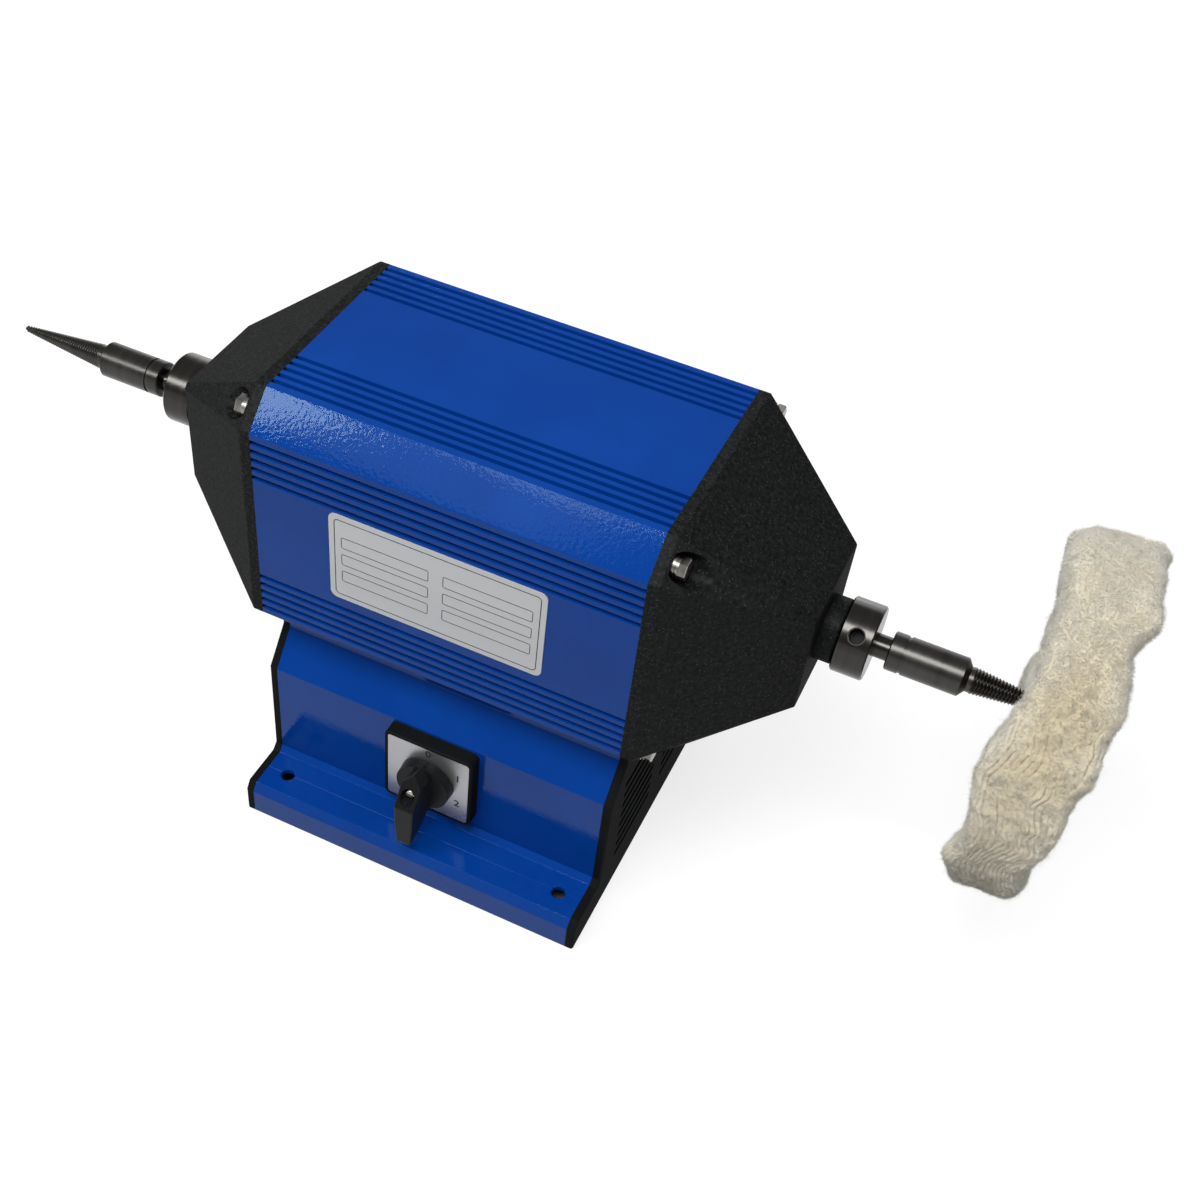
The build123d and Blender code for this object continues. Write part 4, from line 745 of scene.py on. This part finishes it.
fuzz_pieces = [("mop_lint_" + str(lot), lint(LINT_SEED + lot)) for lot in LINT_LOTS]
fuzz_pieces.append(("mop_fibres", fibres()))
for fuzz_name, (fuzz_points, fuzz_faces, fuzz_spots, fuzz_worn) in fuzz_pieces:
    fuzz_piece = as_piece(fuzz_name, fuzz_points, fuzz_faces, lint_cotton, "mop_cotton", "rotor")
    set_values(fuzz_piece, "crease", np.zeros(len(fuzz_worn)))
    set_values(fuzz_piece, "worn", fuzz_worn)
    bake_map(fuzz_piece, fuzz_spots)

# Sewing round the hub
STITCH_ROWS = (26.5, 31.0, 36.0)
STITCH_SPACING = 4.2
STITCH_LENGTH = 3.0
STITCH_RADIUS = 0.35
STITCH_END = 0.02
STITCH_ARCH = 0.35
STITCH_RINGS = 7
STITCH_SIDES = 6
HUB_RISE = 10.0


def hub_rise(radius):
    """How far the cloth stands out past the hub's face near the hub, by the same ease as the mop's faces."""
    return smoothstep(*SPREAD_ZONE, radius) * HUB_RISE


def stitches():
    """Rows of sewing round the hub on both faces: each stitch is a tube along a circle of the hub, arched
    out of the cloth in its middle by half a sine and thinned to its ends. Gives points and faces."""
    share = np.linspace(0.0, 1.0, STITCH_RINGS)[None, :, None]
    round_tube = np.linspace(0.0, FULL_TURN, STITCH_SIDES, endpoint=False)[None, None, :]
    rows = []
    for ring in STITCH_ROWS:
        count = int(FULL_TURN * ring / STITCH_SPACING)
        middle = np.arange(count)[:, None, None] * FULL_TURN / count
        angle = middle + (share - 0.5) * STITCH_LENGTH / ring
        girth = STITCH_RADIUS * np.sqrt(np.clip(1 - (2 * share - 1) ** 2, 0.0, 1.0)) + STITCH_END
        reach = ring + girth * np.cos(round_tube)
        lift = STITCH_ARCH * np.sin(np.pi * share) + girth * np.sin(round_tube)
        rows.append(np.stack(np.broadcast_arrays(lift, reach, angle), -1))
    tubes = np.concatenate(rows)
    lift, reach, angle = tubes[..., 0], tubes[..., 1], tubes[..., 2]
    first_end = np.array([[5, 4, 3, 2], [5, 2, 1, 0]])
    last_end = (STITCH_RINGS - 1) * STITCH_SIDES + np.array([[0, 1, 2, 5], [5, 2, 3, 4]])
    faces = np.concatenate([ring_faces(STITCH_RINGS, STITCH_SIDES, False), first_end, last_end])
    first = STITCH_RINGS * STITCH_SIDES * np.arange(len(tubes))[:, None, None]
    faces = (first + faces).reshape(-1, 4)
    both = []
    for sign in (-1, 1):
        surface = MOP_MIDDLE + sign * (MOP_HUB_HALF + hub_rise(reach))
        both.append(round_shaft(surface + sign * lift, reach, angle))
    return np.concatenate(both), np.concatenate([faces, faces[:, ::-1] + lift.size])


thread_piece = as_piece("mop_stitches", *stitches(), finishes["mop_cotton"], "mop_cotton", "rotor")
set_values(thread_piece, "crease", np.zeros(len(thread_piece.data.vertices)))
set_values(thread_piece, "worn", np.zeros(len(thread_piece.data.vertices)))


# Tapered spindles with a cut thread

SPINDLE_RADIUS = 10.2
SPINDLE_BORE = 6.28
SPINDLE_BORE_DEPTH = 32.0
SPINDLE_LENGTH = 38.2
REAR_EDGE = 0.6
GROOVE_START = 7.0
GROOVE_END = 8.6
GROOVE_DEPTH = 0.6
NOSE_LENGTH = 2.75
NECK_RADIUS = 6.5
THREAD_START = 43.15
THREAD_LENGTH = 52.5
THREAD_PITCH = 1.75
THREAD_DEPTH = 0.8
THREAD_RADII = (7.1, 1.9)
TIP_LENGTH = 0.8
SET_SCREW_PLACE = 20.0
SET_SCREW_RADIUS = 3.05
CRISP_EDGE = 28
SIDES = ((-1, "left"), (1, "right"))
ALONG_SHAFT = np.array([1.0, 0.0, 0.0])


def spindle_grid(columns=72, rows_per_turn=10):
    """A surface of revolution from the bore's end out over the sleeve, the nose and the taper to the tip. On
    the taper the radius loses a triangle wave of (distance / pitch - turn), so the ridge climbs one pitch a
    turn. Gives distance from the sleeve's start, radius and angle."""
    bottom = SPINDLE_RADIUS - GROOVE_DEPTH
    bore = [(SPINDLE_BORE_DEPTH, 0.0), (SPINDLE_BORE_DEPTH, SPINDLE_BORE), (0.0, SPINDLE_BORE)]
    rear = [(0.0, SPINDLE_RADIUS - REAR_EDGE), (REAR_EDGE, SPINDLE_RADIUS)]
    groove = [(GROOVE_START, SPINDLE_RADIUS), (GROOVE_START, bottom), (GROOVE_END, bottom),
              (GROOVE_END, SPINDLE_RADIUS)]
    nose = [(SPINDLE_LENGTH, SPINDLE_RADIUS), (SPINDLE_LENGTH + NOSE_LENGTH, NECK_RADIUS)]
    sleeve = bore + rear + groove + nose
    distance = np.linspace(0.0, THREAD_LENGTH, int(THREAD_LENGTH / THREAD_PITCH) * rows_per_turn + 1)
    crest = np.interp(distance, (0.0, THREAD_LENGTH), THREAD_RADII)
    tip_place = THREAD_START + THREAD_LENGTH + TIP_LENGTH
    tip_radius = THREAD_RADII[1] - THREAD_DEPTH
    taper = np.stack([THREAD_START + distance, crest], -1)
    profile = np.concatenate([sleeve, taper, [(tip_place, tip_radius), (tip_place, 0.0)]])
    turn = (np.arange(columns) / columns)[None, :]
    place = np.repeat(profile[:, :1], columns, axis=1)
    radius = np.repeat(profile[:, 1:], columns, axis=1)
    phase = ((place - THREAD_START) / THREAD_PITCH - turn) % 1.0
    cut = THREAD_DEPTH * np.abs(2 * phase - 1)
    threaded = slice(len(sleeve), len(sleeve) + len(taper))
    radius[threaded] -= cut[threaded]
    return place, radius, turn * FULL_TURN


def hole_cutter(x, radius, reach, sides=40):
    """A closed cylinder from the shaft's axis out to the back and down, where the spindle's screw sits."""
    angle = np.linspace(0.0, FULL_TURN, sides, endpoint=False)
    out = np.array([0.0, 1.0, -1.0]) / np.sqrt(2)
    other = np.cross(out, ALONG_SHAFT)
    ring = radius * (np.cos(angle)[:, None] * ALONG_SHAFT + np.sin(angle)[:, None] * other)
    points = np.concatenate([ring, ring + reach * out]) + (x, 0.0, AXIS_Z)
    ends = [list(range(sides))[::-1], list(range(sides, 2 * sides))]
    return put("cutter", mesh_mm("cutter", points, ring_faces(2, sides, False).tolist() + ends))


def bore_hole(piece, cutter):
    """Cuts the cutter's shape out of a piece for good and removes the cutter."""
    cut = piece.modifiers.new("hole", "BOOLEAN")
    cut.operation = "DIFFERENCE"
    cut.solver = "EXACT"
    cut.object = cutter
    depsgraph = bpy.context.evaluated_depsgraph_get()
    bored = bpy.data.meshes.new_from_object(piece.evaluated_get(depsgraph))
    piece.modifiers.clear()
    piece.data = bored
    bpy.data.objects.remove(cutter)


for side, side_name in SIDES:
    low, high = box_mm(side_name + "_spindle")
    sleeve_start = min(abs(low[0]), abs(high[0]))
    place, radius, angle = spindle_grid()
    points = round_shaft(side * (sleeve_start + place), radius, angle)
    spindle = as_piece(side_name + "_screw_spindle", points, ring_faces(*points.shape[:2], False),
                       spindle_steel, "dark_steel", "rotor")
    close_poles(spindle)
    screw_place = side * (sleeve_start + SET_SCREW_PLACE)
    bore_hole(spindle, hole_cutter(screw_place, SET_SCREW_RADIUS, 2 * SPINDLE_RADIUS))
    spindle.data.set_sharp_from_angle(angle=math.radians(CRISP_EDGE))
    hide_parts(side_name + "_spindle")


# Threads in the collars' set screw holes, with their ends given as depths under the collar's round

HOLE_RADIUS = 4.05
HOLE_PITCH = 1.25
HOLE_THREAD_DEPTH = 0.45
HOLE_THREAD_BOTTOM = 8.0
HOLE_THREAD_TOP = 1.0
SLEEVE_OUTER_GAP = 0.01
SLEEVE_INNER_GAP = 0.03


def hole_thread(side, side_name, columns=36, rows_per_turn=6):
    """A thin threaded sleeve on the wall of the collar's screw hole. Its inner wall's radius is the hole's
    less a triangle wave of (depth / pitch - turn), and its outer wall lies just inside the hole's."""
    low, high = box_mm(side_name + "_collar")
    collar_radius = (high[2] - low[2]) / 2
    bottom = collar_radius - HOLE_THREAD_BOTTOM
    top = collar_radius - HOLE_THREAD_TOP
    depth = np.arange(bottom, top, HOLE_PITCH / rows_per_turn)[:, None]
    turn = (np.arange(columns) / columns)[None, :]
    phase = (depth / HOLE_PITCH - turn) % 1.0
    inner = HOLE_RADIUS - SLEEVE_INNER_GAP - HOLE_THREAD_DEPTH * (1 - np.abs(2 * phase - 1))
    outer = np.full(inner.shape, HOLE_RADIUS - SLEEVE_OUTER_GAP)
    radius = np.concatenate([inner, outer[::-1]])
    depth = np.concatenate([depth, depth[::-1]])
    out = np.array([0.0, -side, side]) / np.sqrt(2)
    other = np.cross(out, ALONG_SHAFT)
    angle = FULL_TURN * turn[..., None]
    ring = np.cos(angle) * ALONG_SHAFT + np.sin(angle) * other
    points = radius[..., None] * ring + depth[..., None] * out
    return points + ((low[0] + high[0]) / 2, 0.0, AXIS_Z)


for side, side_name in SIDES:
    points = hole_thread(side, side_name)
    # The threads take a darker finish than the collar's steel: painted shade in the holes.
    as_piece(side_name + "_hole_thread", points, ring_faces(*points.shape[:2], True)[:, ::-1],
             oxide_and_hole_shade, "dark_steel", "rotor", sharp=30)


# Print on the dial and on the rating plate

dial_low, dial_high = box_mm("dial_plate")
DIAL_FRONT = dial_low[1]
DIAL_X = (dial_low[0] + dial_high[0]) / 2
DIAL_Z = (dial_low[2] + dial_high[2]) / 2
DIAL_NUMBERS = (("0", 0), ("1", 60), ("2", 120))
NUMBER_HEIGHT = 5.4
NUMBER_RING = 21.6
NUMBER_BOLD = 0.02
LETTER_EXTRUDE = 0.5
INK_THICKNESS = 0.04


def printed_number(text, angle):
    """A plain number on the dial, its middle on the number ring at an angle clockwise from the top. The
    letter is made a mesh, thinned to the ink's thickness and stood up on the dial's front. Gives points and
    faces."""
    curve = bpy.data.curves.new("number", "FONT")
    curve.body = text
    curve.offset = NUMBER_BOLD
    curve.extrude = LETTER_EXTRUDE
    letter = put("number", curve)
    flat = bpy.data.meshes.new_from_object(letter)
    bpy.data.objects.remove(letter)
    spots = np.empty(len(flat.vertices) * 3)
    flat.vertices.foreach_get("co", spots)
    spots = spots.reshape(-1, 3)
    low = spots.min(0)
    high = spots.max(0)
    scale = NUMBER_HEIGHT / (high[1] - low[1])
    spots = (spots - (low + high) / 2) * scale
    deep = np.where(spots[:, 2] > 0, INK_THICKNESS, 0.0)
    turned = math.radians(angle)
    x = DIAL_X + NUMBER_RING * math.sin(turned) + spots[:, 0]
    z = DIAL_Z + NUMBER_RING * math.cos(turned) + spots[:, 1]
    return np.stack([x, DIAL_FRONT - deep, z], -1), [list(face.vertices) for face in flat.polygons]


for text, angle in DIAL_NUMBERS:
    mesh = mesh_mm("dial_number_" + text, *printed_number(text, angle))
    mesh.materials.append(dark_ink)
    number = put("dial_number_" + text, mesh)
    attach(number, "machine_frame")

plate_low, plate_high = box_mm("rating_plate")
PLATE_FRONT = plate_low[1]
PLATE_X = (plate_low[0] + plate_high[0]) / 2
PLATE_Z = (plate_low[2] + plate_high[2]) / 2

# Printed outlines: width, height, corner radius, line. The fields stand in rows and columns from the first
BORDER = (116.0, 52.0, 2.5, 0.5)
FIELD = (50.0, 7.5, 1.2, 0.4)
FIELD_FIRST = (-29.0, 11.0)
FIELD_PITCH = (58.0, -11.5)
FIELD_ROWS = 3
FIELD_COLUMNS = 2
LEAST_CORNER = 0.05


def rounded_path(width, height, radius, steps=8):
    """Points round a rectangle with rounded corners, anticlockwise from the right side: each corner's centre
    plus a quarter circle."""
    quarter = np.linspace(0.0, np.pi / 2, steps)
    angle = (np.arange(4)[:, None] * np.pi / 2 + quarter).ravel()
    sign_x = np.repeat([1, -1, -1, 1], steps)
    sign_z = np.repeat([1, 1, -1, -1], steps)
    x = sign_x * (width / 2 - radius) + radius * np.cos(angle)
    z = sign_z * (height / 2 - radius) + radius * np.sin(angle)
    return np.stack([x, z], -1)


def printed_frame(centre, width, height, radius, line):
    """A closed line of ink round a rounded rectangle: the outer and the inner path, each at the plate's front
    and at the ink's thickness before it, joined as a square tube."""
    outer = rounded_path(width, height, radius)
    inner = rounded_path(width - 2 * line, height - 2 * line, max(radius - line, LEAST_CORNER))
    loops = [(outer, 0.0), (outer, INK_THICKNESS), (inner, INK_THICKNESS), (inner, 0.0)]
    rows = []
    for path, depth in loops:
        x = PLATE_X + centre[0] + path[:, 0]
        z = PLATE_Z + centre[1] + path[:, 1]
        rows.append(np.stack([x, np.full(len(path), PLATE_FRONT - depth), z], -1))
    return np.array(rows)


def plate_print():
    """The border and the empty fields of the rating plate. Gives points and faces."""
    frames = [printed_frame((0.0, 0.0), *BORDER)]
    for row in range(FIELD_ROWS):
        for column in range(FIELD_COLUMNS):
            x = FIELD_FIRST[0] + FIELD_PITCH[0] * column
            z = FIELD_FIRST[1] + FIELD_PITCH[1] * row
            frames.append(printed_frame((x, z), *FIELD))
    points = np.array(frames)
    count, rows, columns = points.shape[:3]
    first = rows * columns * np.arange(count)[:, None, None]
    return points, (first + ring_faces(rows, columns, True)[:, ::-1]).reshape(-1, 4)


as_piece("plate_print", *plate_print(), dark_ink, "black_plastic", "machine_frame", sharp=40)


# Studio: a pale floor that curves up far away, a lamp high in front, a smaller one at left and four panels

FLOOR_TOP = -0.3
FLOOR_REACH = 3000.0
WALL_REACH = 1500.0
WALL_HEIGHT = 1250.0
FLAT_ROWS = 8
WALL_ROWS = 12


def floor_bowl(columns=96):
    """The floor, round the vertical: flat to its reach, then a quarter ellipse up to a low wall."""
    flat = np.linspace(0.0, FLOOR_REACH, FLAT_ROWS + 1)[1:]
    climb = np.linspace(0.0, np.pi / 2, WALL_ROWS + 1)[1:]
    reach = np.concatenate([flat, FLOOR_REACH + WALL_REACH * np.sin(climb)])[:, None]
    height = np.concatenate([np.zeros(FLAT_ROWS), WALL_HEIGHT * (1 - np.cos(climb))])[:, None] + FLOOR_TOP
    angle = np.linspace(0.0, FULL_TURN, columns, endpoint=False)[None, :]
    ring = np.stack(np.broadcast_arrays(reach * np.cos(angle), reach * np.sin(angle), height), -1)
    points = np.concatenate([ring.reshape(-1, 3), [(0.0, 0.0, FLOOR_TOP)]])
    first = np.arange(columns)
    fan = np.stack([np.full(columns, len(points) - 1), first, (first + 1) % columns], -1)
    return points, ring_faces(FLAT_ROWS + WALL_ROWS, columns, False)[:, ::-1].tolist() + fan.tolist()


floor_mesh = mesh_mm("floor", *floor_bowl())
shade_smooth(floor_mesh)
floor = put("floor", floor_mesh)


def pale_floor(lift=0.76, shade=0.30, foot=(0.104, 0.109)):
    """A matt floor that shows white to the camera and in reflections, with its shadows kept. Under the
    machine's foot, given by its half sizes in metres, the white is masked, so that the bench holes look down
    on a dark floor."""
    material, tree, _ = new_material("pale_floor")
    tree.nodes.clear()
    path = add(tree, "LightPath").outputs
    seen = {0: path["Is Camera Ray"], 1: path["Is Glossy Ray"]}
    seen = add(tree, "Math", seen, operation="MAXIMUM").outputs[0]
    seen = add(tree, "Math", {0: seen, 1: path["Is Transmission Ray"]}, operation="MAXIMUM").outputs[0]
    place = add(tree, "TexCoord").outputs["Object"]
    far = add(tree, "VectorMath", {0: place}, operation="ABSOLUTE").outputs[0]
    axes = add(tree, "SeparateXYZ", {0: far}).outputs
    past = [add(tree, "Math", {0: axes[i], 1: foot[i]}, operation="GREATER_THAN").outputs[0] for i in (0, 1)]
    outside = add(tree, "Math", {0: past[0], 1: past[1]}, operation="MAXIMUM").outputs[0]
    lifted = add(tree, "Math", {0: seen, 1: lift}, operation="MULTIPLY").outputs[0]
    strength = add(tree, "Math", {0: lifted, 1: outside}, operation="MULTIPLY").outputs[0]
    glow = add(tree, "Emission", {"Color": (1, 1, 1, 1), "Strength": strength})
    matt = add(tree, "BsdfDiffuse", {"Color": (shade, shade, shade, 1)})
    both = add(tree, "AddShader", {0: glow.outputs[0], 1: matt.outputs[0]})
    add(tree, "OutputMaterial", {"Surface": both.outputs[0]})
    return material


floor_mesh.materials.append(pale_floor())


def sky(low=0.15, high=0.44):
    """An even white sky that brightens from the horizon to overhead."""
    world = bpy.data.worlds.new("sky")
    bpy.context.scene.world = world
    world.use_nodes = True
    tree = world.node_tree
    height = add(tree, "SeparateXYZ", {0: add(tree, "TexCoord").outputs["Generated"]}).outputs[2]
    level = add(tree, "MapRange", {0: height, 1: 0.0, 2: 1.0, 3: low, 4: high}).outputs[0]
    tree.links.new(level, tree.nodes["Background"].inputs["Strength"])
    tree.nodes["Background"].inputs["Color"].default_value = (1, 1, 1, 1)


sky()

# Lamps: name, place and target in metres, size in metres, power in watts
LAMPS = [
    ("top_lamp", (0.10, -0.92, 1.97), (0.05, 0.0, 0.2), 0.75, 24.5),
    ("left_lamp", (-1.10, -1.16, 1.57), (-0.06, -0.04, 0.25), 0.43, 10.8),
    ("front_panel", (-0.66, -1.32, 1.66), (0.0, -0.05, 0.25), 0.55, 1.6),
    ("high_panel", (-0.48, -1.00, 1.76), (0.0, -0.05, 0.25), 0.36, 2.3),
    ("right_panel", (1.55, -0.45, 0.65), (0.3, 0.0, 0.2), 0.8, 3.0),
    ("back_panel", (-0.45, 1.65, 0.60), (0.05, 0.05, 0.18), 1.2, 10.0),
]


def softbox(name, place, target, size, power):
    """A square area light, turned towards a target."""
    data = bpy.data.lights.new(name, "AREA")
    data.energy = power
    data.size = size
    lamp = put(name, data)
    lamp.location = place
    lamp.rotation_euler = (Vector(target) - Vector(place)).to_track_quat("-Z", "Y").to_euler()


for lamp in LAMPS:
    softbox(*lamp)

# The photograph's camera: place in metres, turn in degrees, lens and sensor in millimetres, shift in widths
CAMERA_PLACE = (0.25915, -0.59397, 0.7722)
CAMERA_TURN = (43.2993, -4.2869, 25.1954)
CAMERA_LENS = 48.173
CAMERA_SENSOR = 36.0
CAMERA_SHIFT = (0.03805, 0.04676)

camera_data = bpy.data.cameras.new("camera")
camera_data.sensor_width = CAMERA_SENSOR
camera_data.lens = CAMERA_LENS
camera_data.shift_x, camera_data.shift_y = CAMERA_SHIFT
camera = put("camera", camera_data)
camera.location = CAMERA_PLACE
camera.rotation_euler = [math.radians(turn) for turn in CAMERA_TURN]
bpy.context.scene.camera = camera
bpy.context.scene.view_settings.view_transform = "Standard"
